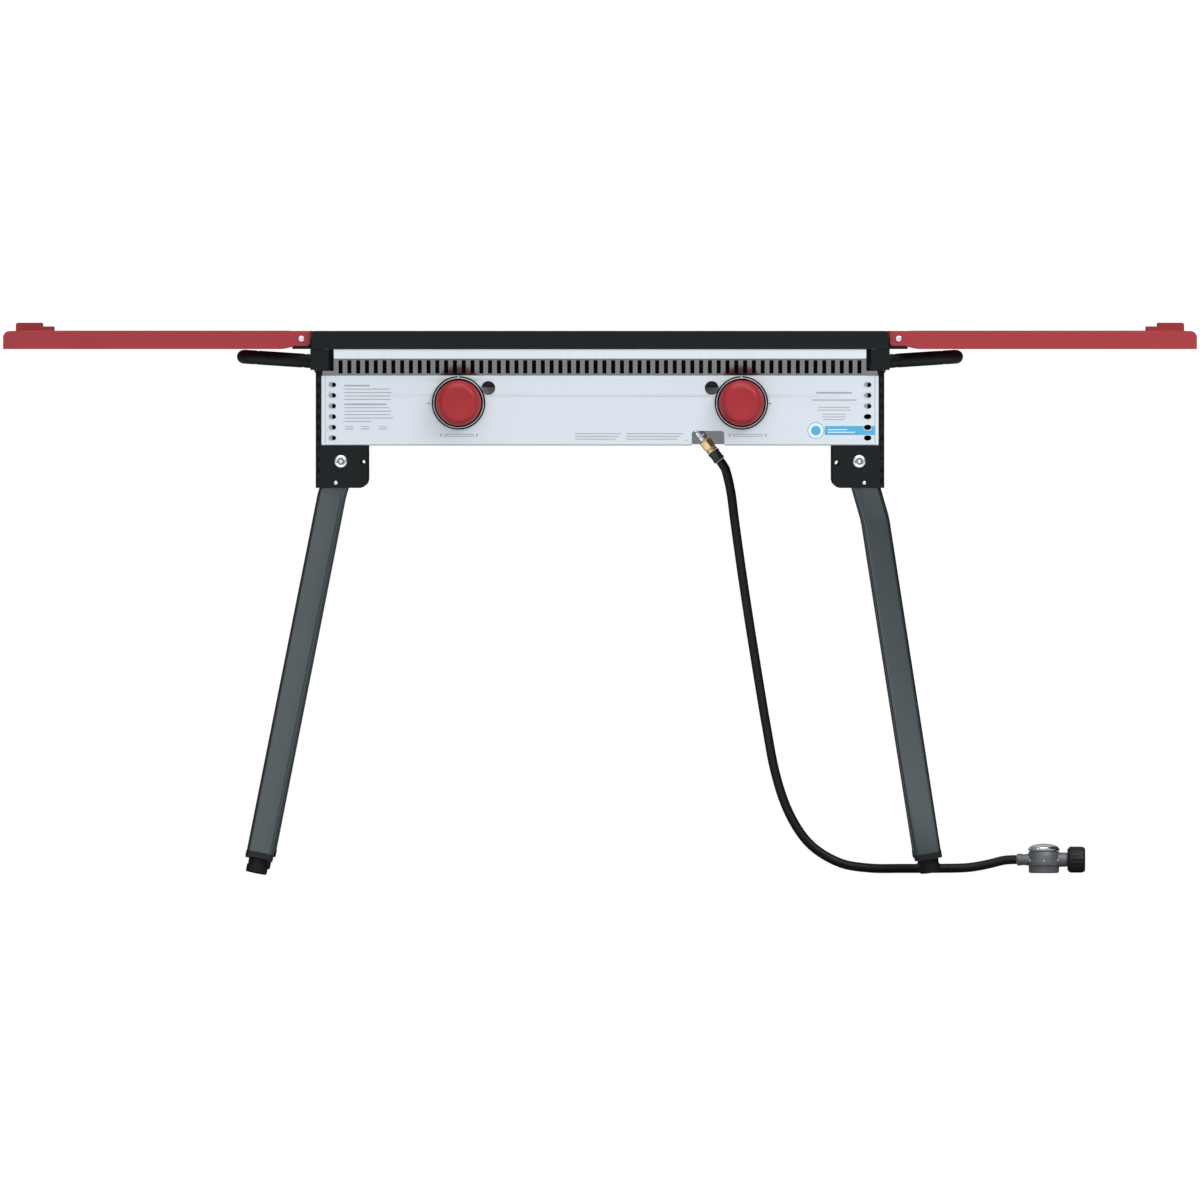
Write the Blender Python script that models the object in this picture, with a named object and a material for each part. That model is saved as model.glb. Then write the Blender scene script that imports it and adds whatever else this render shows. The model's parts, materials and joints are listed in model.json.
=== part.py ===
"""Two-burner camp stove with folding side shelves and folding legs.

Units are metres and +Z is up. The origin is on the ground under the middle of the stove. The front, with
its knobs, faces -Y. The stove mirrors left to right, so most makers take side = -1 (left) or +1 (right)
and end = -1 (front) or +1 (rear).
"""
from math import atan2, cos, pi, radians, sin, sqrt, tan

import bmesh
import bpy
from mathutils import Matrix, Vector
from mathutils.geometry import tessellate_polygon

# ---- driving dimensions ----
GAP = 0.0003
SIDES = {"left": -1, "right": 1}
ENDS = {"front": -1, "rear": 1}

TOP_Z = 0.767
RAIL_HEIGHT = 0.0254
RAIL_BOTTOM_Z = TOP_Z - RAIL_HEIGHT
RAIL_HALF_LENGTH = 0.407
RAIL_FACE_Y = 0.190
RAIL_DEPTH = 0.006
RAIL_WALL = 0.0015

SHEET = 0.0015
PANEL_HALF_WIDTH = 0.393
PANEL_BOTTOM_Z = 0.6056
PANEL_TOP_Z = 0.7043
PANEL_FACE_Y = 0.180
SIDE_FACE_X = 0.3997
PANEL_LIP_DEPTH = 0.012
PANEL_LIP_HALF_LENGTH = 0.320

VENT_TOP_Z = 0.7276
VENT_FACE_Y = 0.188
VENT_HALF_LENGTH = 0.3755
VENT_FOOT_HALF_LENGTH = 0.3915
VENT_FOOT_Z = 0.7113
SLOT_COUNT = 60
SLOT_PITCH = 0.0124
SLOT_WIDTH = 0.0058
SLOT_MARGIN = 0.0026
SLOT_TOP_MARGIN = 0.0014

SIDE_VENT_X = 0.3775
SIDE_VENT_TOP_Z = 0.6912
SIDE_VENT_PITCH = 0.015
SIDE_VENT_COUNT = 6
SIDE_VENT_SIZE = (0.0103, 0.0076)

KNOB_X = 0.1995
KNOB_Z = 0.6657
KNOB_RADIUS = 0.0323
KNOB_FACE_RADIUS = 0.0262
KNOB_BACK_Y = 0.1900
KNOB_FRONT_Y = 0.2150
BEZEL_RADIUS = 0.038
BEZEL_FRONT_Y = 0.1865
STEM_RADIUS = 0.004
STEM_FRONT_Y = 0.2080
STEM_BACK_Y = 0.1600
VIEW_HOLE = (0.1576, 0.6867, 0.0097)

NOTCH_X = (0.1294, 0.1753)
NOTCH_TOP_Z = 0.6262
NOTCH_RADIUS = 0.0045

CORNER_X = (0.376, 0.4085)
CORNER_BOTTOM_Z = 0.712
CORNER_FACE_Y = 0.1885
EAR_FACE_Y = 0.1805
EAR_BACK_Y = 0.1775
PIVOT_X = 0.4212
PIVOT_Z = 0.7563
PIVOT_SCREW_RADIUS = 0.0025

SHELF_TIP_X = 0.8418
SHELF_HINGE_X = 0.409
SHELF_HALF_DEPTH = 0.183
SHELF_EDGE_RADIUS = 0.009
SHELF_SLOPE_X = (0.430, 0.448)
SHELF_HINGE_BOTTOM_Z = 0.7461
CATCH_TALL = (0.7900, 0.8263, 0.0117)
CATCH_LOW = (0.7738, 0.7900, 0.0065)
CATCH_HALF_WIDTH = 0.060

BRACKET_X = (0.3283, 0.401)
BRACKET_BOTTOM_Z = 0.5457
BRACKET_FACE_Y = 0.1805
BRACKET_PLATE = 0.0025
BRACKET_RADIUS = 0.010
POST_INNER_X = 0.3935
POST_TOP_Z = 0.7115

LEG_PIVOT_X = 0.3656
LEG_PIVOT_Z = 0.5832
LEG_WIDTH = 0.038
LEG_WALL = 0.0016
LEG_CORNER = 0.006
LEG_FACE_Y = 0.177
LEG_CENTRE_Y = LEG_FACE_Y - LEG_WIDTH / 2
LEG_TOP_REACH = 0.018
LEG_UPPER_TILT = radians(16)
LEG_BEND_Z = {-1: 0.533, 1: 0.5005}
LEG_LOWER_TILT = {-1: radians(11.2), 1: radians(8.85)}
LEG_SPLAY = {-1: radians(4.5), 1: radians(-4.5)}
DETENT_REACH = 0.031
DETENT_TILT = radians(13.3)
DETENT_HOLE_RADIUS = 0.0036
BOLT_RADIUS = 0.005
BOLT_HEAD_RADIUS = 0.00925
BUTTON_RADIUS = 0.003

FOOT_RADIUS = 0.015
FOOT_LENGTH = 0.020
FOOT_STEM_RADIUS = 0.006
FOOT_STEM_LENGTH = 0.045

BURNER_Y = 0.030
BURNER_RADIUS = 0.062
BURNER_BOTTOM_Z = 0.6517
CAP_TOP_Z = 0.704
VENTURI_MOUTH_Y = -0.122
SHIELD_WALL_Y = -0.095

GRATE_BOTTOM_Z = 0.7250
GRATE_TOP_Z = 0.7310
GRATE_X = (0.003, 0.396)
GRATE_HALF_DEPTH = 0.176
GRATE_BAR = 0.006

MANIFOLD_RADIUS = 0.00635
MANIFOLD_Y = -0.150
MANIFOLD_Z = 0.650
VALVE_RADIUS = 0.009

HANDLE_RADIUS = 0.0098
HANDLE_ROOT = (0.4005, 0.7237)
HANDLE_TIP = (0.5038, 0.7306)
HANDLE_HALF_WIDTH = 0.090
HANDLE_BEND = 0.030

HOSE_RADIUS = 0.0065
NUT_CENTRE = Vector((0.1534, -0.070, 0.605))
INLET_DIRECTION = Vector((0.602, 0.0, -0.7985)).normalized()
HOSE_ROUTE = [
    (0.1778, -0.0700, 0.5705),
    (0.1850, -0.0700, 0.5400),
    (0.1905, -0.0698, 0.4980),
    (0.2000, -0.0692, 0.4300),
    (0.2105, -0.0682, 0.3600),
    (0.2225, -0.0670, 0.2850),
    (0.2350, -0.0655, 0.2100),
    (0.2480, -0.0640, 0.1420),
    (0.2670, -0.0625, 0.0860),
    (0.2960, -0.0605, 0.0420),
    (0.3370, -0.0575, 0.0155),
    (0.3800, -0.0540, 0.0072),
    (0.4300, -0.0490, 0.0065),
    (0.4800, -0.0440, 0.0065),
    (0.5200, -0.0420, 0.0075),
    (0.5500, -0.0420, 0.0125),
    (0.5700, -0.0427, 0.0176),
]
HOSE_END = Vector((0.5900, -0.0430, 0.0188))
HOSE_STRAIGHT = 0.006
REGULATOR_RADIUS = 0.024
PORT_Z = 0.0188
TANK_NUT_RADIUS = 0.0185


# ---- materials ----
FINISHES = {
    "stainless": ((0.74, 0.77, 0.82), 0.30, 1.0),
    "black": ((0.015, 0.018, 0.018), 0.45, 0.0),
    "red": ((0.42, 0.05, 0.06), 0.45, 0.0),
    "cast_iron": ((0.03, 0.03, 0.03), 0.75, 0.3),
    "aluminium": ((0.55, 0.56, 0.58), 0.45, 1.0),
    "brass": ((0.72, 0.48, 0.18), 0.30, 1.0),
    "bright_steel": ((0.80, 0.80, 0.80), 0.20, 1.0),
    "rubber": ((0.02, 0.02, 0.02), 0.60, 0.0),
}


def finish(obj, name):
    """Give an object its own Principled material in one of the stove's finishes."""
    colour, roughness, metallic = FINISHES[name]
    material = bpy.data.materials.new(obj.name + "_" + name)
    material.use_nodes = True
    shader = material.node_tree.nodes["Principled BSDF"]
    shader.inputs["Base Color"].default_value = (*colour, 1)
    shader.inputs["Roughness"].default_value = roughness
    shader.inputs["Metallic"].default_value = metallic
    obj.data.materials.clear()
    obj.data.materials.append(material)
    return obj


# ---- building blocks ----
def make_object(name, bm):
    """Turn a bmesh into an object with outward faces and smooth shading on its round parts."""
    bmesh.ops.remove_doubles(bm, verts=bm.verts, dist=1e-6)
    bmesh.ops.recalc_face_normals(bm, faces=bm.faces)
    mesh = bpy.data.meshes.new(name)
    bm.to_mesh(mesh)
    bm.free()
    mesh.shade_smooth()
    mesh.set_sharp_from_angle(angle=radians(35))
    obj = bpy.data.objects.new(name, mesh)
    bpy.context.collection.objects.link(obj)
    return obj


def circle(centre_u, centre_v, radius, count=20, radius_v=None):
    """Points on a circle, or on an ellipse when radius_v is given."""
    other = radius if radius_v is None else radius_v
    steps = [2 * pi * i / count for i in range(count)]
    return [(centre_u + radius * cos(a), centre_v + other * sin(a)) for a in steps]


def rounded_rect(u0, u1, v0, v1, radius, steps=4):
    """A rectangle's outline with all four corners rounded."""
    corners = [(u1 - radius, v1 - radius, 0), (u0 + radius, v1 - radius, 90),
               (u0 + radius, v0 + radius, 180), (u1 - radius, v0 + radius, 270)]
    points = []
    for u, v, start in corners:
        for i in range(steps + 1):
            angle = radians(start + 90 * i / steps)
            points.append((u + radius * cos(angle), v + radius * sin(angle)))
    return points


def prism(name, axis, low, high, outline, holes=()):
    """Extrude an outline with holes along X, Y or Z. The outline's axes are the other two, in order."""
    def place(point, along):
        u, v = point
        return {"X": (along, u, v), "Y": (u, along, v), "Z": (u, v, along)}[axis]

    loops = [outline] + list(holes)
    triangles = tessellate_polygon([[Vector((u, v, 0)) for u, v in loop] for loop in loops])
    bm = bmesh.new()
    flat = [point for loop in loops for point in loop]
    bottom = [bm.verts.new(place(point, low)) for point in flat]
    top = [bm.verts.new(place(point, high)) for point in flat]
    for a, b, c in triangles:
        bm.faces.new((bottom[a], bottom[b], bottom[c]))
        bm.faces.new((top[c], top[b], top[a]))
    start = 0
    for loop in loops:
        for i in range(len(loop)):
            a = start + i
            b = start + (i + 1) % len(loop)
            bm.faces.new((bottom[a], bottom[b], top[b], top[a]))
        start += len(loop)
    return make_object(name, bm)


def box(name, x, y, z):
    """A box from its (low, high) pairs, in either order."""
    x0, x1 = sorted(x)
    y0, y1 = sorted(y)
    return prism(name, "Z", z[0], z[1], [(x0, y0), (x1, y0), (x1, y1), (x0, y1)])


def grid_plate(name, us, vs, low, high, solid):
    """A flat plate on a grid of lines: the cells that solid(i, j) keeps are filled, the rest are open."""
    bm = bmesh.new()
    verts = {}

    def vert(i, j, k):
        if (i, j, k) not in verts:
            verts[i, j, k] = bm.verts.new((us[i], vs[j], high if k else low))
        return verts[i, j, k]

    def kept(i, j):
        return 0 <= i < len(us) - 1 and 0 <= j < len(vs) - 1 and solid(i, j)

    for i in range(len(us) - 1):
        for j in range(len(vs) - 1):
            if not kept(i, j):
                continue
            ring = [(i, j), (i + 1, j), (i + 1, j + 1), (i, j + 1)]
            bm.faces.new([vert(a, b, 1) for a, b in ring])
            bm.faces.new([vert(a, b, 0) for a, b in reversed(ring)])
            beside = [(i, j - 1), (i + 1, j), (i, j + 1), (i - 1, j)]
            for step, (a, b) in enumerate(beside):
                if not kept(a, b):
                    p, q = ring[step], ring[(step + 1) % 4]
                    bm.faces.new((vert(*p, 0), vert(*q, 0), vert(*q, 1), vert(*p, 1)))
    return make_object(name, bm)


def turned(name, origin, direction, profile, segments=24):
    """Turn a profile of (distance along, radius) points. Points of radius 0 close on the axis."""
    axis = Vector(direction).normalized()
    across = axis.orthogonal().normalized()
    up = axis.cross(across)
    bm = bmesh.new()
    rings = []
    for along, radius in profile:
        centre = Vector(origin) + axis * along
        if radius == 0:
            rings.append([bm.verts.new(centre)])
            continue
        steps = [2 * pi * i / segments for i in range(segments)]
        rings.append([bm.verts.new(centre + (across * cos(a) + up * sin(a)) * radius) for a in steps])
    closed = len(rings[0]) > 1 and len(rings[-1]) > 1
    pairs = list(zip(rings, rings[1:])) + ([(rings[-1], rings[0])] if closed else [])
    for first, second in pairs:
        for i in range(segments):
            j = (i + 1) % segments
            corners = [first[i % len(first)], first[j % len(first)],
                       second[j % len(second)], second[i % len(second)]]
            corners = [v for n, v in enumerate(corners) if v not in corners[:n]]
            if len(corners) > 2:
                bm.faces.new(corners)
    return make_object(name, bm)


def swept(name, path, section):
    """Sweep a closed section, given as (across, up) offsets, along a level-turning path of points."""
    points = [Vector(p) for p in path]
    bm = bmesh.new()
    rings = []
    for i, point in enumerate(points):
        before = points[max(i - 1, 0)]
        after = points[min(i + 1, len(points) - 1)]
        along = (after - before).normalized()
        across = along.cross(Vector((0, 0, 1))).normalized()
        up = across.cross(along)
        rings.append([bm.verts.new(point + across * u + up * v) for u, v in section])
    count = len(section)
    for first, second in zip(rings, rings[1:]):
        for i in range(count):
            j = (i + 1) % count
            bm.faces.new((first[i], first[j], second[j], second[i]))
    bm.faces.new(rings[0])
    bm.faces.new(rings[-1])
    return make_object(name, bm)


def combine(base, tool, operation="UNION", solver="EXACT"):
    """Join a tool to the base, or cut it from the base, and remove the tool."""
    modifier = base.modifiers.new("combine", "BOOLEAN")
    modifier.operation = operation
    modifier.solver = solver
    modifier.object = tool
    bpy.context.view_layer.update()
    evaluated = base.evaluated_get(bpy.context.evaluated_depsgraph_get())
    mesh = bpy.data.meshes.new_from_object(evaluated)
    base.modifiers.clear()
    base.data = mesh
    bpy.data.objects.remove(tool, do_unlink=True)
    return base


def cut_round(base, centre, direction, radius, length, segments=20):
    """Drill a round hole of the given length, centred on a point."""
    half = length / 2
    profile = [(-half, 0), (-half, radius), (half, radius), (half, 0)]
    return combine(base, turned("drill", centre, direction, profile, segments), "DIFFERENCE")


def smooth_curve(points, spacing):
    """Points at an even spacing along a Catmull-Rom curve through the given points."""
    knots = [Vector(p) for p in points]
    knots = [knots[0] * 2 - knots[1]] + knots + [knots[-1] * 2 - knots[-2]]
    fine = []
    for i in range(1, len(knots) - 2):
        p0, p1, p2, p3 = knots[i - 1:i + 3]
        for step in range(24):
            t = step / 24
            fine.append(0.5 * (2 * p1 + (p2 - p0) * t + (2 * p0 - 5 * p1 + 4 * p2 - p3) * t * t
                               + (3 * p1 - p0 - 3 * p2 + p3) * t ** 3))
    fine.append(knots[-2])
    total = sum((b - a).length for a, b in zip(fine, fine[1:]))
    count = max(2, round(total / spacing))
    result = [fine[0]]
    travelled = 0.0
    for a, b in zip(fine, fine[1:]):
        travelled += (b - a).length
        if travelled >= len(result) * total / count and len(result) < count:
            result.append(b)
    return result + [fine[-1]]


# ---- body ----
def make_front_panel():
    x0, x1 = NOTCH_X
    notch = [(x0, PANEL_BOTTOM_Z)]
    for i in range(4):
        angle = radians(180 - 30 * i)
        notch.append((x0 + NOTCH_RADIUS * (1 + cos(angle)), NOTCH_TOP_Z - NOTCH_RADIUS * (1 - sin(angle))))
    for i in range(4):
        angle = radians(90 - 30 * i)
        notch.append((x1 - NOTCH_RADIUS * (1 - cos(angle)), NOTCH_TOP_Z - NOTCH_RADIUS * (1 - sin(angle))))
    notch.append((x1, PANEL_BOTTOM_Z))
    outline = [(-PANEL_HALF_WIDTH, PANEL_BOTTOM_Z)] + notch + [
        (PANEL_HALF_WIDTH, PANEL_BOTTOM_Z), (PANEL_HALF_WIDTH, PANEL_TOP_Z), (-PANEL_HALF_WIDTH, PANEL_TOP_Z)]
    holes = []
    view_x, view_z, view_radius = VIEW_HOLE
    width, height = SIDE_VENT_SIZE
    for side in SIDES.values():
        holes.append(circle(side * KNOB_X, KNOB_Z, 0.0085, 16))
        holes.append(circle(side * view_x, view_z, view_radius, 16))
        for i in range(SIDE_VENT_COUNT):
            centre_z = SIDE_VENT_TOP_Z - i * SIDE_VENT_PITCH
            holes.append(circle(side * SIDE_VENT_X, centre_z, width / 2, 10, height / 2))
    panel = prism("front_panel", "Y", -PANEL_FACE_Y, -PANEL_FACE_Y + SHEET, outline, holes)
    lip_y = (-PANEL_FACE_Y + SHEET / 2, -PANEL_FACE_Y + PANEL_LIP_DEPTH)
    lip_z = (PANEL_BOTTOM_Z, PANEL_BOTTOM_Z + SHEET)
    for lip_x in ((-PANEL_LIP_HALF_LENGTH, x0 - 0.001), (x1 + 0.001, PANEL_LIP_HALF_LENGTH)):
        combine(panel, box("lip", lip_x, lip_y, lip_z), solver="MANIFOLD")
    finish(panel, "stainless")


def make_rear_panel():
    outline = [(-PANEL_HALF_WIDTH, PANEL_BOTTOM_Z), (PANEL_HALF_WIDTH, PANEL_BOTTOM_Z),
               (PANEL_HALF_WIDTH, RAIL_BOTTOM_Z - GAP), (-PANEL_HALF_WIDTH, RAIL_BOTTOM_Z - GAP)]
    holes = []
    for row_z in (0.640, 0.665):
        for i in range(11):
            centre_x = (i - 5) * 0.064
            holes.append(rounded_rect(centre_x - 0.020, centre_x + 0.020, row_z - 0.004, row_z + 0.004, 0.0039, 1))
    finish(prism("rear_panel", "Y", PANEL_FACE_Y - SHEET, PANEL_FACE_Y, outline, holes), "stainless")


def make_side_panel(label, side):
    depth = 0.1765
    outline = [(-depth, PANEL_BOTTOM_Z), (depth, PANEL_BOTTOM_Z),
               (depth, RAIL_BOTTOM_Z - GAP), (-depth, RAIL_BOTTOM_Z - GAP)]
    holes = []
    for i in range(7):
        centre_y = (i - 3) * 0.040
        holes.append(rounded_rect(centre_y - 0.013, centre_y + 0.013, 0.636, 0.644, 0.0039, 1))
    faces = sorted((side * SIDE_FACE_X, side * (SIDE_FACE_X - SHEET)))
    panel = prism(label + "_side_panel", "X", faces[0], faces[1], outline, holes)
    ledge_x = (side * 0.386, side * (SIDE_FACE_X - SHEET / 2))
    combine(panel, box("ledge", ledge_x, (-depth + 0.001, depth - 0.001), (0.7228, 0.7245)))
    finish(panel, "black")


def make_top_rail(label, end):
    """A channel that is open towards the middle of the stove."""
    face = end * RAIL_FACE_Y
    web = end * (RAIL_FACE_Y - RAIL_WALL)
    inner = end * (RAIL_FACE_Y - RAIL_DEPTH)
    low, high = RAIL_BOTTOM_Z, TOP_Z
    outline = [(face, low), (face, high), (inner, high), (inner, high - RAIL_WALL), (web, high - RAIL_WALL),
               (web, low + RAIL_WALL), (inner, low + RAIL_WALL), (inner, low)]
    finish(prism(label + "_top_rail", "X", -RAIL_HALF_LENGTH, RAIL_HALF_LENGTH, outline), "black")


def make_front_strips():
    half = VENT_HALF_LENGTH
    upper = box("front_upper_strip", (-half, half), (-VENT_FACE_Y, -VENT_FACE_Y + 0.0012),
                (VENT_TOP_Z + GAP, RAIL_BOTTOM_Z - GAP))
    finish(upper, "stainless")

    # The vent strip leans back towards its foot, so it is drawn flat and then turned into place.
    foot_z = PANEL_TOP_Z + 3 * GAP
    drop = VENT_TOP_Z - foot_z
    back = VENT_FACE_Y - PANEL_FACE_Y + 0.001
    length = sqrt(drop ** 2 + back ** 2)
    foot = (VENT_FOOT_Z - foot_z) * length / drop
    centres = [(i - (SLOT_COUNT - 1) / 2) * SLOT_PITCH for i in range(SLOT_COUNT)]
    edges = [x + shift for x in centres for shift in (-SLOT_WIDTH / 2, SLOT_WIDTH / 2)]
    xs = [-VENT_FOOT_HALF_LENGTH, -half] + edges + [half, VENT_FOOT_HALF_LENGTH]
    heights = [0, SLOT_MARGIN, foot, length - SLOT_TOP_MARGIN, length]

    def solid(i, j):
        in_slot = i % 2 == 0 and 2 <= i <= len(xs) - 4 and j in (1, 2)
        beyond_end = i in (0, len(xs) - 2) and j >= 2
        return not in_slot and not beyond_end

    strip = grid_plate("front_vent_strip", xs, heights, 0, 0.0012, solid)
    lean = atan2(drop, back)
    turn = Matrix.Rotation(pi - lean, 4, "X")
    strip.data.transform(Matrix.Translation((0, -PANEL_FACE_Y + 0.001, foot_z)) @ turn)
    bm = bmesh.new()
    bm.from_mesh(strip.data)
    bmesh.ops.recalc_face_normals(bm, faces=bm.faces)
    bm.to_mesh(strip.data)
    bm.free()
    finish(strip, "stainless")


def make_corner(end_label, end, side_label, side):
    """A corner casting: a front plate, a block round the edge, and the ear that carries the shelf."""
    inner, outer = CORNER_X
    name = end_label + "_" + side_label + "_corner"
    top = RAIL_BOTTOM_Z - GAP
    chamfer = 0.006
    plate_outline = [(side * inner, CORNER_BOTTOM_Z + chamfer), (side * (inner + chamfer), CORNER_BOTTOM_Z),
                     (side * outer, CORNER_BOTTOM_Z), (side * outer, top), (side * inner, top)]
    faces = sorted((end * CORNER_FACE_Y, end * (CORNER_FACE_Y - SHEET)))
    corner = prism(name, "Y", faces[0], faces[1], plate_outline)
    block = box("block", (side * 0.4005, side * (outer - 0.0002)),
                (end * (CORNER_FACE_Y - SHEET / 2), end * (EAR_BACK_Y + 0.001)),
                (CORNER_BOTTOM_Z + 0.0002, top - 0.0002))
    combine(corner, block)
    pivot_arc = [(side * (PIVOT_X + 0.0075 * cos(radians(a))), PIVOT_Z + 0.0075 * sin(radians(a)))
                 for a in (20, 55, 90, 125, 160)]
    ear_outline = [(side * 0.4010, 0.725), (side * 0.4080, 0.725), (side * 0.4080, RAIL_BOTTOM_Z),
                   (side * 0.4340, RAIL_BOTTOM_Z), (side * 0.4340, 0.7470)] + pivot_arc + [
                   (side * 0.4050, 0.7475), (side * 0.4010, RAIL_BOTTOM_Z)]
    faces = sorted((end * EAR_FACE_Y, end * EAR_BACK_Y))
    ear = prism("ear", "Y", faces[0], faces[1], ear_outline,
                [circle(side * PIVOT_X, PIVOT_Z, PIVOT_SCREW_RADIUS + GAP, 12)])
    combine(corner, ear, solver="MANIFOLD")
    finish(corner, "black")


def make_hinge_rod(label, side):
    """A shelf's hinge rod: it runs through both ears and both shelf flanges, with a head at each end."""
    half, head, shank = 0.1855, 0.0045, PIVOT_SCREW_RADIUS
    end = [(0, 0), (0, head - 0.0015), (0.0008, head), (0.0020, head), (0.0020, shank)]
    profile = end + [(2 * half - along, radius) for along, radius in reversed(end)]
    rod = turned(label + "_hinge_rod", (side * PIVOT_X, -half, PIVOT_Z), (0, 1, 0), profile, 16)
    finish(rod, "bright_steel")


def make_leg_bracket(end_label, end, side_label, side):
    """A U-shaped leg bracket whose front plate runs up into the corner post."""
    inner, outer = BRACKET_X
    top = PANEL_BOTTOM_Z - GAP
    arc = []
    for i in range(4):
        angle = radians(270 - 30 * i)
        arc.append((side * (inner + BRACKET_RADIUS * (1 + cos(angle))),
                    BRACKET_BOTTOM_Z + BRACKET_RADIUS * (1 + sin(angle))))
    outline = [(side * outer, POST_TOP_Z), (side * outer, BRACKET_BOTTOM_Z)] + arc + [
        (side * inner, top), (side * POST_INNER_X, top), (side * POST_INNER_X, POST_TOP_Z)]
    button_x = LEG_PIVOT_X + DETENT_REACH * sin(DETENT_TILT)
    button_z = LEG_PIVOT_Z - DETENT_REACH * cos(DETENT_TILT)
    folded = radians(90) + LEG_LOWER_TILT[side] - DETENT_TILT
    holes = [circle(side * LEG_PIVOT_X, LEG_PIVOT_Z, BOLT_RADIUS + GAP, 16),
             circle(side * button_x, button_z, DETENT_HOLE_RADIUS, 12),
             circle(side * (LEG_PIVOT_X - DETENT_REACH * sin(folded)), LEG_PIVOT_Z - DETENT_REACH * cos(folded),
                    DETENT_HOLE_RADIUS, 12)]
    faces = sorted((end * BRACKET_FACE_Y, end * (BRACKET_FACE_Y - BRACKET_PLATE)))
    bracket = prism(end_label + "_" + side_label + "_leg_bracket", "Y", faces[0], faces[1], outline, holes)
    back_y = LEG_FACE_Y - LEG_WIDTH - 0.001
    wall = box("wall", (side * (outer - 0.0001), side * (outer - SHEET)),
               (end * (BRACKET_FACE_Y - BRACKET_PLATE / 2), end * (back_y - BRACKET_PLATE / 2)),
               (BRACKET_BOTTOM_Z + 0.0001, top - 0.0001))
    combine(bracket, wall)
    back_outline = [(side * outer, top), (side * outer, BRACKET_BOTTOM_Z)] + arc + [(side * inner, top)]
    faces = sorted((end * back_y, end * (back_y - BRACKET_PLATE)))
    back = prism("back", "Y", faces[0], faces[1], back_outline, [holes[0], holes[2]])
    combine(bracket, back)
    finish(bracket, "black")


def make_pivot_bolt(name, side, end):
    """A leg's pivot bolt: domed head with a round recess in front, nut behind the bracket."""
    head = BOLT_HEAD_RADIUS
    profile = [(0.0016, 0), (0.0016, 0.0045), (0, 0.0052), (0.0006, head - 0.002), (0.0022, head),
               (0.0042, head), (0.0042, BOLT_RADIUS), (0.0510, BOLT_RADIUS), (0.0510, 0.0085),
               (0.0570, 0.0085), (0.0570, 0)]
    head_point = (side * LEG_PIVOT_X, end * (BRACKET_FACE_Y + 0.0045), LEG_PIVOT_Z)
    finish(turned(name, head_point, (0, -end, 0), profile, 16), "bright_steel")


def make_handle(label, side):
    """A carrying handle: a round tube bent into a wide U, fixed to the side panel."""
    root_x, root_z = HANDLE_ROOT
    tip_x, tip_z = HANDLE_TIP
    half = HANDLE_HALF_WIDTH
    bend_x = tip_x - HANDLE_BEND

    def height(x):
        return root_z + (tip_z - root_z) * (x - root_x) / (tip_x - root_x)

    one_arm = [(root_x, -half)]
    for i in range(7):
        angle = radians(-90 + 15 * i)
        one_arm.append((bend_x + HANDLE_BEND * cos(angle), -half + HANDLE_BEND * (1 + sin(angle))))
    flat = one_arm + [(x, -y) for x, y in reversed(one_arm)]
    path = [(side * x, y, height(x)) for x, y in flat]
    finish(swept(label + "_handle", path, circle(0, 0, HANDLE_RADIUS, 12)), "rubber")


# ---- cooking top ----
def make_heat_shield():
    """A bent sheet between the burners and the valves, with holes for flame view and venturi."""
    wall = SHIELD_WALL_Y
    outline = [(-0.174, 0.7160), (-0.174, 0.7172), (wall + 0.001, 0.7012), (wall + 0.001, 0.6470),
               (wall, 0.6470), (wall, 0.7000)]
    half = 0.392
    shield = prism("heat_shield", "X", -half, half, outline)
    view_x, view_z, view_radius = VIEW_HOLE
    for side in SIDES.values():
        cut_round(shield, (side * KNOB_X, wall, KNOB_Z), (0, 1, 0), 0.0155, 0.02)
        cut_round(shield, (side * view_x, wall, view_z), (0, 1, 0), view_radius, 0.02)
    finish(shield, "aluminium")


def make_centre_divider():
    divider = box("centre_divider", (-0.001, 0.001), (SHIELD_WALL_Y + 0.002, 0.176), (0.6520, 0.7237))
    combine(divider, box("cap", (-0.010, 0.010), (-0.170, 0.176), (0.7228, 0.7245)))
    finish(divider, "stainless")


def make_grate(label, side):
    """A cooking grate: a frame, bars front to back, and two bars across."""
    low, high = GRATE_X
    bar = GRATE_BAR
    bars = 11
    pitch = (high - low - bar) / (bars - 1)
    us = [low + i * pitch + shift for i in range(bars) for shift in (0, bar)]
    xs = sorted(side * u for u in us)
    half = GRATE_HALF_DEPTH
    ys = [-half, -half + bar, -0.062, -0.062 + bar, 0.062 - bar, 0.062, half - bar, half]
    grate = grid_plate(label + "_grate", xs, ys, GRATE_BOTTOM_Z, GRATE_TOP_Z,
                       lambda i, j: i % 2 == 0 or j % 2 == 0)
    finish(grate, "cast_iron")


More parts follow.
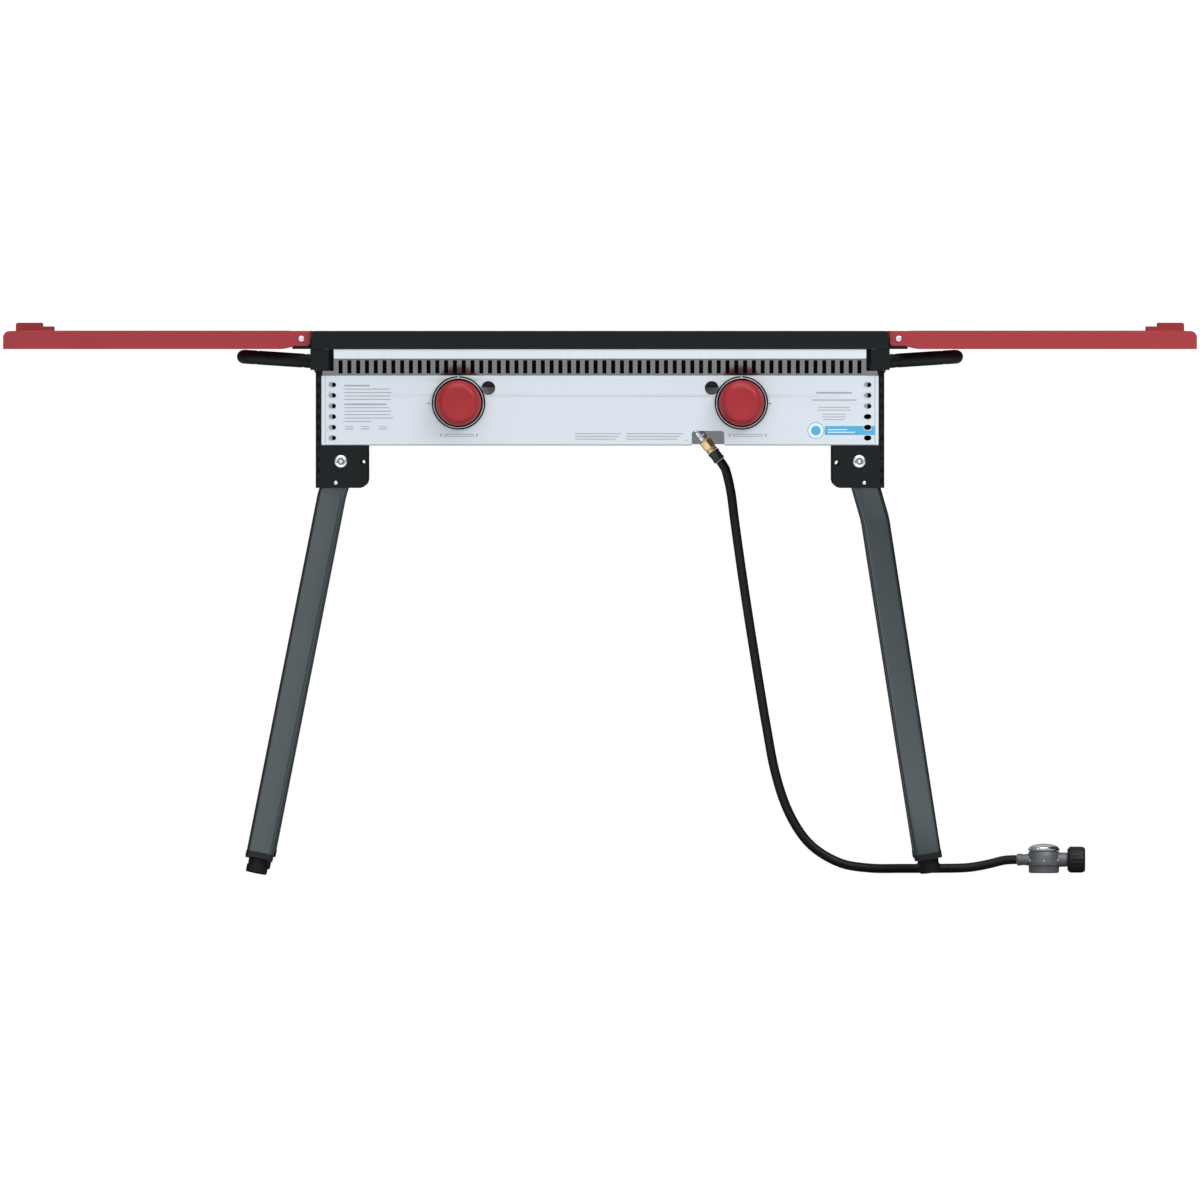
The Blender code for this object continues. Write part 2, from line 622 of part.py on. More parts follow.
def make_burner(label, side):
    """A cast burner with its cap and its venturi tube."""
    x = side * KNOB_X
    rim, top = BURNER_RADIUS + 0.003, CAP_TOP_Z - BURNER_BOTTOM_Z
    bowl = [(0, 0), (0, 0.030), (0.010, 0.040), (0.022, BURNER_RADIUS - 0.004), (0.026, BURNER_RADIUS),
            (0.037, BURNER_RADIUS), (0.039, rim - 0.004), (0.042, rim), (top - 0.003, rim), (top, rim - 0.004),
            (top, 0.022), (top - 0.004, 0.016), (top - 0.004, 0)]
    burner = turned(label + "_burner", (x, BURNER_Y, BURNER_BOTTOM_Z), (0, 0, 1), bowl, 24)
    reach = BURNER_Y - VENTURI_MOUTH_Y
    tube = [(0, 0), (0, 0.0150), (0.006, 0.0150), (0.014, 0.0120), (0.050, 0.0120), (0.070, 0.0138),
            (reach - 0.010, 0.0138), (reach - 0.010, 0)]
    combine(burner, turned("venturi", (x, VENTURI_MOUTH_Y, KNOB_Z), (0, 1, 0), tube, 16))
    cut_round(burner, (x, VENTURI_MOUTH_Y, KNOB_Z), (0, 1, 0), 0.0085, 0.080, 16)
    finish(burner, "aluminium")


def make_burner_bracket():
    """One flat bar across the stove carries both burners."""
    bar = box("burner_bracket", (-0.3975, 0.3975), (0.015, 0.045), (0.6484, BURNER_BOTTOM_Z - GAP))
    finish(bar, "aluminium")


# ---- gas train ----
def make_valve(label, side):
    """A brass valve body with a bore for the stem in front and a gas orifice behind."""
    front = -0.1745
    outside = [(0, 0), (0, VALVE_RADIUS), (0.040, VALVE_RADIUS), (0.046, 0.0045), (0.060, 0.0040), (0.060, 0)]
    valve = turned(label + "_valve", (side * KNOB_X, front, KNOB_Z), (0, 1, 0), outside, 20)
    cut_round(valve, (side * KNOB_X, front, KNOB_Z), (0, 1, 0), 0.0045, 0.044, 16)
    finish(valve, "brass")


def make_stem_and_knob(label, side):
    x = side * KNOB_X
    length = STEM_FRONT_Y - STEM_BACK_Y
    stem = turned(label + "_valve_stem", (x, -STEM_FRONT_Y, KNOB_Z), (0, 1, 0),
                  [(0, 0), (0, STEM_RADIUS), (length, STEM_RADIUS), (length, 0)], 16)
    finish(stem, "brass")

    depth = KNOB_FRONT_Y - KNOB_BACK_Y
    outer, face = KNOB_RADIUS, KNOB_FACE_RADIUS
    profile = [(0, 0), (0, face - 0.004), (0.0012, face), (0.0040, face + 0.0006), (0.0095, outer - 0.0012),
               (0.0125, outer), (depth - 0.0015, outer), (depth, outer - 0.0015), (depth, 0)]
    knob = turned(label + "_knob", (x, -KNOB_FRONT_Y, KNOB_Z), (0, 1, 0), profile, 28)
    bore_length = 2 * (STEM_FRONT_Y + GAP - KNOB_BACK_Y)
    cut_round(knob, (x, -KNOB_BACK_Y, KNOB_Z), (0, 1, 0), STEM_RADIUS + GAP, bore_length, 16)
    finish(knob, "red")

    front = BEZEL_FRONT_Y - PANEL_FACE_Y - GAP
    ring = [(0, 0.0080), (0, BEZEL_RADIUS), (front - 0.0015, BEZEL_RADIUS), (front, BEZEL_RADIUS - 0.0015),
            (front, KNOB_RADIUS + 0.0012), (0.0022, KNOB_RADIUS + 0.0004), (0.0022, 0.0080)]
    bezel = turned(label + "_knob_bezel", (x, -PANEL_FACE_Y - GAP, KNOB_Z), (0, -1, 0), ring, 28)
    finish(bezel, "aluminium")


def make_manifold():
    """The manifold pipe across the stove, with the inlet pipe and fitting that lead back and down from it."""
    half = 0.225
    radius = MANIFOLD_RADIUS
    pipe = turned("gas_manifold", (-half, MANIFOLD_Y, MANIFOLD_Z), (1, 0, 0),
                  [(0, 0), (0, radius), (2 * half, radius), (2 * half, 0)], 16)
    end = NUT_CENTRE - INLET_DIRECTION * 0.026
    approach = end - INLET_DIRECTION * 0.014
    route = [(0.118, MANIFOLD_Y, MANIFOLD_Z - 0.002), (0.118, -0.143, 0.6390), (0.118, -0.115, 0.6340),
             (0.118, -0.090, 0.6350), (0.121, -0.0745, 0.6400), tuple(approach), tuple(end)]
    curve = smooth_curve(route, 0.006)
    section = circle(0, 0, 0.0050, 12)
    bm = bmesh.new()
    rings = []
    across = Vector((1, 0, 0))
    for i, point in enumerate(curve):
        along = (curve[min(i + 1, len(curve) - 1)] - curve[max(i - 1, 0)]).normalized()
        across = (across - along * across.dot(along)).normalized()
        up = along.cross(across)
        rings.append([bm.verts.new(point + across * u + up * v) for u, v in section])
    for first, second in zip(rings, rings[1:]):
        for i in range(len(section)):
            j = (i + 1) % len(section)
            bm.faces.new((first[i], first[j], second[j], second[i]))
    bm.faces.new(rings[0])
    bm.faces.new(rings[-1])
    combine(pipe, make_object("inlet_pipe", bm))
    fitting = [(0, 0), (0, 0.0060), (0.004, 0.0060), (0.0055, 0.0072), (0.0197, 0.0072), (0.0197, 0)]
    combine(pipe, turned("fitting", NUT_CENTRE - INLET_DIRECTION * 0.030, INLET_DIRECTION, fitting, 20))
    finish(pipe, "bright_steel")


def make_hose_end():
    """The brass nut and the crimped ferrule, both on the slanting inlet axis."""
    axis = INLET_DIRECTION

    def along_axis(name, start, stop, profile, look, segments=20):
        length = stop - start
        points = [(fraction * length, radius) for fraction, radius in profile]
        obj = turned(name, NUT_CENTRE + axis * start, axis, [(0, 0)] + points + [(length, 0)], segments)
        finish(obj, look)

    along_axis("brass_nut", -0.0100, 0.0100, [(0, 0.0078), (0.08, 0.0092), (0.92, 0.0092), (1, 0.0078)],
               "brass", 6)
    along_axis("hose_ferrule", 0.0103, 0.0263, [(0, 0.0088), (0.1, 0.0095), (0.85, 0.0095), (1, 0.0082)],
               "rubber")


def make_hose():
    """The hose runs down from the ferrule and along the ground to the regulator."""
    start = NUT_CENTRE + INLET_DIRECTION * (0.0263 + GAP)
    lead = start + INLET_DIRECTION * HOSE_STRAIGHT
    tail = HOSE_END - Vector((HOSE_STRAIGHT, 0, 0))
    points = [start] + smooth_curve([lead] + HOSE_ROUTE + [tail], 0.015) + [HOSE_END]
    curve = bpy.data.curves.new("gas_hose", "CURVE")
    curve.dimensions = "3D"
    curve.bevel_depth = HOSE_RADIUS
    curve.bevel_resolution = 3
    curve.use_fill_caps = True
    spline = curve.splines.new("POLY")
    spline.points.add(len(points) - 1)
    for target, point in zip(spline.points, points):
        target.co = (*point, 1)
    hose = bpy.data.objects.new("gas_hose", curve)
    bpy.context.collection.objects.link(hose)
    finish(hose, "rubber")


def make_regulator():
    """The regulator lies on the ground: round body, chrome cap on top, and the nut for the tank valve."""
    port_start = HOSE_END.x + GAP
    y = HOSE_END.y
    centre_x = port_start + 0.014 + REGULATOR_RADIUS
    outline = [(0, 0), (0, REGULATOR_RADIUS - 0.003), (0.003, REGULATOR_RADIUS), (0.031, REGULATOR_RADIUS),
               (0.031, 0)]
    body = turned("regulator_body", (centre_x, y, 0), (0, 0, 1), outline, 24)
    boss = [(0, 0), (0, 0.0085), (0.018, 0.0085), (0.018, 0)]
    combine(body, turned("hose_port", (port_start, y, PORT_Z), (1, 0, 0), boss, 16))
    inlet = [(0, 0), (0, 0.0100), (0.014, 0.0100), (0.014, 0)]
    combine(body, turned("inlet_port", (centre_x + REGULATOR_RADIUS - 0.005, y, PORT_Z), (1, 0, 0), inlet, 16))
    finish(body, "black")

    cap = [(0, 0), (0, 0.0225), (0.004, 0.0225), (0.0075, 0.0195), (0.0095, 0.0130), (0.0102, 0)]
    finish(turned("regulator_cap", (centre_x, y, 0.031 + GAP), (0, 0, 1), cap, 28), "bright_steel")

    nut_start = centre_x + REGULATOR_RADIUS + 0.009 + GAP
    radius = TANK_NUT_RADIUS
    nut = [(0, 0), (0, radius - 0.003), (0.003, radius), (0.022, radius), (0.025, radius - 0.002), (0.025, 0.0125),
           (0.010, 0.0125), (0.010, 0)]
    finish(turned("tank_nut", (nut_start, y, PORT_Z), (1, 0, 0), nut, 24), "black")


# ---- shelves ----
def make_shelf(label, side):
    """A folded tray: top sheet rolled down at the tip, flanges front and rear, and a raised catch."""
    radius = SHELF_EDGE_RADIUS
    tip, top = SHELF_TIP_X, TOP_Z
    centre = (tip - radius, top - radius)
    outer_arc = [(centre[0] + radius * sin(radians(a)), centre[1] + radius * cos(radians(a)))
                 for a in range(0, 91, 15)]
    inner_arc = [(centre[0] + (radius - SHEET) * sin(radians(a)), centre[1] + (radius - SHEET) * cos(radians(a)))
                 for a in range(90, -1, -15)]
    skin = [(SHELF_HINGE_X, top)] + outer_arc + [(tip, RAIL_BOTTOM_Z), (tip - SHEET, RAIL_BOTTOM_Z)] \
        + inner_arc + [(SHELF_HINGE_X, top - SHEET)]
    inner_y = SHELF_HALF_DEPTH - SHEET
    shelf = prism(label + "_shelf", "Y", -inner_y - SHEET / 2, inner_y + SHEET / 2,
                  [(side * x, z) for x, z in skin])
    for end in ENDS.values():
        relief = box("relief", (side * (SHELF_HINGE_X - 0.005), side * (PIVOT_X + 0.018)),
                     (end * 0.1765, end * 0.190), (top - 0.005, top + 0.005))
        combine(shelf, relief, "DIFFERENCE")
    rise_x, level_x = SHELF_SLOPE_X
    hinge_x, round_off = SHELF_HINGE_X, 0.003
    flange = [(hinge_x, top), *outer_arc, (tip, RAIL_BOTTOM_Z), (level_x, RAIL_BOTTOM_Z),
              (rise_x, SHELF_HINGE_BOTTOM_Z), (hinge_x + round_off, SHELF_HINGE_BOTTOM_Z),
              (hinge_x, SHELF_HINGE_BOTTOM_Z + round_off)]
    flange = [(side * x, z) for x, z in flange]
    for end in ENDS.values():
        faces = sorted((end * inner_y, end * SHELF_HALF_DEPTH))
        hole = circle(side * PIVOT_X, PIVOT_Z, PIVOT_SCREW_RADIUS + GAP, 12)
        combine(shelf, prism("flange", "Y", faces[0], faces[1], flange, [hole]))
    tall_x0, tall_x1, tall = CATCH_TALL
    low_x0, low_x1, low = CATCH_LOW
    catch = [(tall_x1, top - 0.001), (tall_x1, top + tall - 0.002), (tall_x1 - 0.002, top + tall),
             (tall_x0 + 0.001, top + tall), (tall_x0, top + tall - 0.001), (low_x1, top + low),
             (low_x0 + 0.001, top + low), (low_x0, top + low - 0.001), (low_x0, top - 0.001)]
    combine(shelf, prism("catch", "Y", -CATCH_HALF_WIDTH, CATCH_HALF_WIDTH, [(side * x, z) for x, z in catch]))
    finish(shelf, "red")


# ---- legs ----
def leg_lines(side, end):
    """The leg's pivot, its upper and lower directions, its bend and where its foot meets the ground."""
    pivot = Vector((side * LEG_PIVOT_X, end * LEG_CENTRE_Y, LEG_PIVOT_Z))
    upper = Vector((side * sin(LEG_UPPER_TILT), 0, -cos(LEG_UPPER_TILT)))
    tilt, splay = LEG_LOWER_TILT[side], LEG_SPLAY[side]
    lower = Vector((side * tan(tilt), end * tan(splay), -1)).normalized()
    bend = pivot + upper * ((LEG_PIVOT_Z - LEG_BEND_Z[side]) / cos(LEG_UPPER_TILT))
    lean = sqrt(1 - lower.z ** 2)
    ground = bend + lower * ((bend.z - FOOT_RADIUS * lean) / -lower.z)
    return pivot, upper, lower, bend, ground


def make_leg(name, side, end):
    """A bent square tube, open at both ends, with holes for its pivot bolt and its spring button."""
    pivot, upper, lower, bend, ground = leg_lines(side, end)
    across = Vector((0, 1, 0)).cross(upper).normalized()
    depth = Vector((0, 1, 0))
    mitre = (upper + lower).normalized()
    top = pivot - upper * LEG_TOP_REACH
    bottom = ground - lower * FOOT_LENGTH
    bm = bmesh.new()
    skins = []
    for inset in (0, LEG_WALL):
        half = LEG_WIDTH / 2 - inset
        section = rounded_rect(-half, half, -half, half, LEG_CORNER - inset, 3)
        rings = [[], [], []]
        for u, v in section:
            offset = across * u + depth * v
            first = top + offset
            middle = first + upper * ((bend - first).dot(mitre) / upper.dot(mitre))
            last = middle + lower * ((bottom - middle).dot(lower))
            for ring, point in zip(rings, (first, middle, last)):
                ring.append(bm.verts.new(point))
        skins.append(rings)
    count = len(skins[0][0])
    for i in range(count):
        j = (i + 1) % count
        for rings in skins:
            for first, second in zip(rings, rings[1:]):
                bm.faces.new((first[i], first[j], second[j], second[i]))
        for level in (0, 2):
            outer, inner = skins[0][level], skins[1][level]
            bm.faces.new((outer[i], outer[j], inner[j], inner[i]))
    leg = make_object(name, bm)
    cut_round(leg, pivot, (0, 1, 0), BOLT_RADIUS + GAP, LEG_WIDTH + 0.01, 16)
    button = button_centre(side, end)
    cut_round(leg, (button.x, end * LEG_FACE_Y, button.z), (0, 1, 0), BUTTON_RADIUS + GAP, 0.010, 12)
    finish(leg, "black")


def button_centre(side, end):
    return Vector((side * (LEG_PIVOT_X + DETENT_REACH * sin(DETENT_TILT)), end * (LEG_FACE_Y + 0.0004),
                   LEG_PIVOT_Z - DETENT_REACH * cos(DETENT_TILT)))


def make_button(name, side, end):
    """The spring button that locks the leg: a round pin with a collar inside the tube."""
    profile = [(0, 0), (0, BUTTON_RADIUS - 0.0008), (0.0006, BUTTON_RADIUS), (0.0026, BUTTON_RADIUS),
               (0.0026, 0.0045), (0.0056, 0.0045), (0.0056, 0)]
    finish(turned(name, button_centre(side, end), (0, -end, 0), profile, 12), "bright_steel")


def make_foot(name, side, end):
    """A round levelling foot: a pad with a collar on a stem that screws up into the leg."""
    lower, ground = leg_lines(side, end)[2::2]
    pad = FOOT_LENGTH - GAP
    profile = [(0, 0), (0, FOOT_RADIUS), (pad - 0.008, FOOT_RADIUS), (pad - 0.006, FOOT_RADIUS - 0.001),
               (pad, FOOT_RADIUS - 0.001), (pad, FOOT_STEM_RADIUS), (pad + FOOT_STEM_LENGTH, FOOT_STEM_RADIUS),
               (pad + FOOT_STEM_LENGTH, 0)]
    finish(turned(name, ground, -lower, profile, 20), "rubber")


def main():
    for obj in list(bpy.data.objects):
        bpy.data.objects.remove(obj, do_unlink=True)
    make_front_panel()
    make_rear_panel()
    make_front_strips()
    make_heat_shield()
    make_centre_divider()
    make_burner_bracket()
    make_manifold()
    make_hose_end()
    make_hose()
    make_regulator()
    for end_label, end in ENDS.items():
        make_top_rail(end_label, end)
    for side_label, side in SIDES.items():
        make_side_panel(side_label, side)
        make_handle(side_label, side)
        make_grate(side_label, side)
        make_burner(side_label, side)
        make_valve(side_label, side)
        make_stem_and_knob(side_label, side)
        make_shelf(side_label, side)
        make_hinge_rod(side_label, side)
        for end_label, end in ENDS.items():
            place = end_label + "_" + side_label
            make_corner(end_label, end, side_label, side)
            make_leg_bracket(end_label, end, side_label, side)
            make_pivot_bolt(place + "_pivot_bolt", side, end)
            make_leg(place + "_leg", side, end)
            make_button(place + "_button", side, end)
            make_foot(place + "_foot", side, end)


main()
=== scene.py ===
"""Looks of the two-burner camp stove: camera, light, materials and fine meshes around the fixed CAD frame.

Lengths are metres and +Z is up. The front, with the knobs, faces -Y. Where pieces mirror, side is -1 (left)
or +1 (right) and end is -1 (front) or +1 (rear).
"""
import json
from math import atan2, cos, pi, radians, sin, sqrt, tan

import bmesh
import bpy
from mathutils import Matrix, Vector
from mathutils.geometry import tessellate_polygon

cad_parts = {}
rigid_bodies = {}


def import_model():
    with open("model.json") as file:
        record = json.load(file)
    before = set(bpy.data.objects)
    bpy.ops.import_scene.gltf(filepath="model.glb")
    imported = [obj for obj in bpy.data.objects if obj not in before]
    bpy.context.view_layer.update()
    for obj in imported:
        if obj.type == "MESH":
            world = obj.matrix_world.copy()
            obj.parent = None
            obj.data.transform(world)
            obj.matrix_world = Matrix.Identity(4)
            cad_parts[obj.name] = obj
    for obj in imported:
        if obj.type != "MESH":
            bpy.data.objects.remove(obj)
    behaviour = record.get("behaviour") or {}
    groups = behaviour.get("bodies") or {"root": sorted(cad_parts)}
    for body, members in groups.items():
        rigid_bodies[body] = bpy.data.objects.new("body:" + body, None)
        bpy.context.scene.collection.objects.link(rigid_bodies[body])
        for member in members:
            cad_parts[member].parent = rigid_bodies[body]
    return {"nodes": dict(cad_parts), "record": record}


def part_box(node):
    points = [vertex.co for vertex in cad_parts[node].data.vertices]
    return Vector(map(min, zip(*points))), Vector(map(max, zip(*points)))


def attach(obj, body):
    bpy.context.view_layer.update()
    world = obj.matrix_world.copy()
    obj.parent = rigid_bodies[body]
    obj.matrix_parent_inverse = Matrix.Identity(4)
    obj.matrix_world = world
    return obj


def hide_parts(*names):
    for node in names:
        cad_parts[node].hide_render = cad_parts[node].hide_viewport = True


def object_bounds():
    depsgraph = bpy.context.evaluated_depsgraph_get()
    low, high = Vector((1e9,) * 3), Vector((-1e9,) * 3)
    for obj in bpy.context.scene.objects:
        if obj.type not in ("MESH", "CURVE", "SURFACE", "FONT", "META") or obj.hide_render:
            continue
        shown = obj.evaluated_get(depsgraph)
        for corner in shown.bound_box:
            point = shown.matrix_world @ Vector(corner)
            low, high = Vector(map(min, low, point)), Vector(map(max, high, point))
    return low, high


for stale in list(bpy.data.objects):
    bpy.data.objects.remove(stale, do_unlink=True)
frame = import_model()
CAD_BOX = [list(corner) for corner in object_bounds()]
NODES = frame["nodes"]
BODY_OF = {node: body for body, members in frame["record"]["behaviour"]["bodies"].items() for node in members}
SLOT_OF = {part["node"]: part["material_slot"] for part in frame["record"]["subparts"]}
SIDES = {"left": -1, "right": 1}
ENDS = {"front": -1, "rear": 1}


# ---- camera, floor and light ----
VIEW_WIDTH = 1.692
VIEW_CENTRE_Z = 0.3878
CAMERA_Y = -40.0
CAMERA_Z = 0.8
SENSOR = 36.0
FLOOR_HALF = 40
FLOOR_DROP = 0.0005


def add_object(name, data):
    obj = bpy.data.objects.new(name, data)
    bpy.context.collection.objects.link(obj)
    return obj


def make_camera():
    """A long lens just above the cooking top, tipped down by 0.6 degrees, as for a catalogue picture."""
    data = bpy.data.cameras.new("camera")
    camera = add_object("camera", data)
    front_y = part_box("front_top_rail")[0].y
    data.sensor_width = SENSOR
    data.lens = SENSOR * (front_y - CAMERA_Y) / VIEW_WIDTH
    data.clip_end = 100
    camera.location = (0, CAMERA_Y, CAMERA_Z)
    camera.rotation_euler = (radians(90) - atan2(CAMERA_Z - VIEW_CENTRE_Z, front_y - CAMERA_Y), 0, 0)
    bpy.context.scene.camera = camera


def make_area_light(name, place, target, size, power):
    data = bpy.data.lights.new(name, "AREA")
    data.shape = "RECTANGLE"
    data.size, data.size_y = size
    data.energy = power
    light = add_object(name, data)
    light.location = place
    light.rotation_euler = (Vector(target) - Vector(place)).to_track_quat("-Z", "Y").to_euler()


def ramp(tree, value, start, stop, low, high):
    node = tree.nodes.new("ShaderNodeMapRange")
    for name, setting in zip(("From Min", "From Max", "To Min", "To Max"), (start, stop, low, high)):
        node.inputs[name].default_value = setting
    tree.links.new(value, node.inputs["Value"])
    return node.outputs["Result"]


def times(tree, first, second):
    node = tree.nodes.new("ShaderNodeMath")
    node.operation = "MULTIPLY"
    tree.links.new(first, node.inputs[0])
    tree.links.new(second, node.inputs[1])
    return node.outputs[0]


def seen_as_white(tree, lighting, bright, output):
    """Show a plain white to the camera and leave the lighting to the other shader."""
    mix = tree.nodes.new("ShaderNodeMixShader")
    tree.links.new(tree.nodes.new("ShaderNodeLightPath").outputs["Is Camera Ray"], mix.inputs["Fac"])
    tree.links.new(lighting, mix.inputs[1])
    tree.links.new(bright, mix.inputs[2])
    tree.links.new(mix.outputs[0], output)


def make_world():
    """White behind the stove; as a light it is bright in front and above, and dark beside and behind."""
    world = bpy.data.worlds.new("studio")
    bpy.context.scene.world = world
    world.use_nodes = True
    tree = world.node_tree
    where = tree.nodes.new("ShaderNodeTexCoord")
    split = tree.nodes.new("ShaderNodeSeparateXYZ")
    tree.links.new(where.outputs["Generated"], split.inputs[0])

    x, y, z = split.outputs
    strength = times(tree, ramp(tree, x, 0.12, 0.5, 1.0, 0.06), ramp(tree, x, -0.85, -0.3, 0.22, 1.0))
    strength = times(tree, strength, ramp(tree, y, -0.8, 0.3, 1.27, 0.46))
    strength = times(tree, strength, ramp(tree, z, 0.0, 1.0, 0.94, 1.25))
    low_behind = times(tree, ramp(tree, y, 0.0, 0.4, 0.0, 1.0), ramp(tree, z, 0.1, 0.4, 1.0, 0.0))
    strength = times(tree, strength, ramp(tree, low_behind, 0.0, 1.0, 1.0, 0.1))
    light = tree.nodes["Background"]
    light.inputs["Color"].default_value = (0.955, 0.98, 1.0, 1)
    tree.links.new(strength, light.inputs["Strength"])
    backdrop = tree.nodes.new("ShaderNodeBackground")
    backdrop.inputs["Color"].default_value = (1, 1, 1, 1)
    seen_as_white(tree, light.outputs[0], backdrop.outputs[0], tree.nodes["World Output"].inputs["Surface"])


def make_studio():
    """A white studio: a pale floor, the world and two soft boxes."""
    bm = bmesh.new()
    bmesh.ops.create_grid(bm, x_segments=1, y_segments=1, size=FLOOR_HALF)
    mesh = bpy.data.meshes.new("floor")
    bm.to_mesh(mesh)
    bm.free()
    floor = add_object("floor", mesh)
    material = bpy.data.materials.new("floor_paint")
    material.use_nodes = True
    tree = material.node_tree
    shader = tree.nodes["Principled BSDF"]
    shader.inputs["Base Color"].default_value = (0.3, 0.31, 0.32, 1)
    shader.inputs["Roughness"].default_value = 0.9
    shader.inputs["Specular IOR Level"].default_value = 0.1
    shader.inputs["Emission Color"].default_value = (0.95, 0.98, 1, 1)
    # as a light the floor is bright in front of the stove and dark beside and behind it
    split = tree.nodes.new("ShaderNodeSeparateXYZ")
    tree.links.new(tree.nodes.new("ShaderNodeTexCoord").outputs["Object"], split.inputs[0])
    y = split.outputs["Y"]
    glow = times(tree, ramp(tree, y, -0.5, -0.22, 1.0, 0.0), ramp(tree, y, -3.2, -0.7, 0.25, 1.0))
    tree.links.new(glow, shader.inputs["Emission Strength"])
    white = tree.nodes.new("ShaderNodeEmission")
    seen_as_white(tree, shader.outputs[0], white.outputs[0], tree.nodes["Material Output"].inputs["Surface"])
    mesh.materials.append(material)
    floor.location.z = CAD_BOX[0][2] - FLOOR_DROP

    make_world()
    make_area_light("top_box", (0.0, -0.6, 3.4), (0, 0, 0.6), (3.4, 2.4), 40)
    make_area_light("front_box", (3.0, -3.4, 3.6), (0.3, 0, 0.5), (2.2, 1.8), 112)
    bpy.context.scene.view_settings.view_transform = "Standard"


make_camera()
make_studio()


# ---- materials ----
class Surface:
    """A material under construction: patterns in object space that feed colour, roughness and bump."""

    def __init__(self, name, colour, roughness, metallic=0.0):
        self.material = bpy.data.materials.new(name)
        self.material.use_nodes = True
        self.tree = self.material.node_tree
        self.shader = self.tree.nodes["Principled BSDF"]
        self.colour = colour
        self.shader.inputs["Base Color"].default_value = (*colour, 1)
        self.shader.inputs["Roughness"].default_value = roughness
        self.shader.inputs["Metallic"].default_value = metallic
        self.roughness = roughness
        self.coordinates = self.tree.nodes.new("ShaderNodeTexCoord").outputs["Object"]
        self.heights = []

    def set(self, **values):
        for name, value in values.items():
            self.shader.inputs[name.replace("_", " ")].default_value = value
        return self

    def noise(self, scale, stretch=(1, 1, 1), detail=4.0):
        mapping = self.tree.nodes.new("ShaderNodeMapping")
        mapping.inputs["Scale"].default_value = stretch
        self.tree.links.new(self.coordinates, mapping.inputs["Vector"])
        node = self.tree.nodes.new("ShaderNodeTexNoise")
        node.inputs["Scale"].default_value = scale
        node.inputs["Detail"].default_value = detail
        self.tree.links.new(mapping.outputs["Vector"], node.inputs["Vector"])
        return node.outputs["Fac"]

    def remap(self, value, low, high, start=0.3, stop=0.7):
        return ramp(self.tree, value, start, stop, low, high)

    def tint(self, factor, colour):
        """Blend the colour so far towards another one where the factor is high."""
        mix = self.tree.nodes.new("ShaderNodeMix")
        mix.data_type = "RGBA"
        mix.inputs["A"].default_value = (*self.colour, 1)
        base = self.shader.inputs["Base Color"]
        if base.is_linked:
            self.tree.links.new(base.links[0].from_socket, mix.inputs["A"])
        mix.inputs["B"].default_value = (*colour, 1)
        self.tree.links.new(factor, mix.inputs["Factor"])
        self.tree.links.new(mix.outputs["Result"], base)
        return self

    def rough(self, pattern, spread):
        self.tree.links.new(self.remap(pattern, self.roughness - spread, self.roughness + spread),
                            self.shader.inputs["Roughness"])
        return self

    def bump(self, pattern, height, strength=0.6):
        node = self.tree.nodes.new("ShaderNodeBump")
        node.inputs["Strength"].default_value = strength
        node.inputs["Distance"].default_value = height
        self.tree.links.new(pattern, node.inputs["Height"])
        normal = self.shader.inputs["Normal"]
        if normal.is_linked:
            self.tree.links.new(normal.links[0].from_socket, node.inputs["Normal"])
        self.tree.links.new(node.outputs["Normal"], normal)
        return self


def lighter(colour, factor):
    return tuple(min(1.0, c * factor) for c in colour)


def brushed_steel(name, colour, roughness, metallic):
    """Sheet steel with very fine brush lines, a faint cloudy sheen and a few fine scratches."""
    s = Surface(name, colour, roughness, metallic)
    lines = s.noise(34, (1, 90, 90), 2)
    cloud = s.noise(4, detail=2)
    scratches = s.noise(9, (1, 40, 14), 8)
    s.rough(lines, 0.025)
    s.tint(s.remap(lines, 0, 0.3), lighter(colour, 0.95))
    s.tint(s.remap(cloud, 0, 0.5), lighter(colour, 0.965))
    s.tint(s.remap(scratches, 0, 0.15, 0.66, 0.76), lighter(colour, 1.06))
    s.bump(lines, 0.000008, 0.25)
    return s.material


def powder_coat(name, colour, roughness, grain=1.0, dust=0.25, specular=0.5):
    """Baked powder coat: orange-peel bump, a faint mottle, and lighter rubbed specks."""
    s = Surface(name, colour, roughness)
    s.set(Specular_IOR_Level=specular)
    peel = s.noise(900 * grain, detail=2)
    mottle = s.noise(14, detail=5)
    specks = s.noise(260, detail=6)
    s.rough(mottle, 0.05)
    s.tint(s.remap(mottle, 0, 0.5), lighter(colour, 0.88))
    s.tint(s.remap(specks, 0, dust, 0.6, 0.74), tuple(c * 0.85 + 0.05 for c in colour))
    s.bump(peel, 0.00006, 0.45)
    s.bump(mottle, 0.0002, 0.05)
    return s.material


def gloss_coat(name, colour, roughness):
    """Glossy dark paint under a clear coat: faint orange peel, a soft haze and a few dust specks."""
    s = Surface(name, colour, roughness)
    s.set(Specular_IOR_Level=1.0, Specular_Tint=(0.8, 0.95, 1.0, 1.0), Coat_Weight=0.35, Coat_Roughness=0.22)
    haze = s.noise(12, detail=4)
    s.rough(haze, 0.04)
    s.tint(s.remap(haze, 0, 0.4), lighter(colour, 0.85))
    s.tint(s.remap(s.noise(240, detail=6), 0, 0.08, 0.62, 0.76), tuple(c * 0.9 + 0.04 for c in colour))
    s.bump(s.noise(700, detail=2), 0.00002, 0.3)
    return s.material


def moulded(name, colour, roughness, grain=1400, depth=0.00005, specular=0.5):
    """Moulded plastic or rubber with a fine spark-eroded grain."""
    s = Surface(name, colour, roughness)
    s.set(Specular_IOR_Level=specular)
    fine = s.noise(grain, detail=3)
    cloud = s.noise(30, detail=4)
    s.rough(cloud, 0.06)
    s.tint(s.remap(cloud, 0, 0.5), lighter(colour, 0.82))
    s.bump(fine, depth, 0.5)
    return s.material


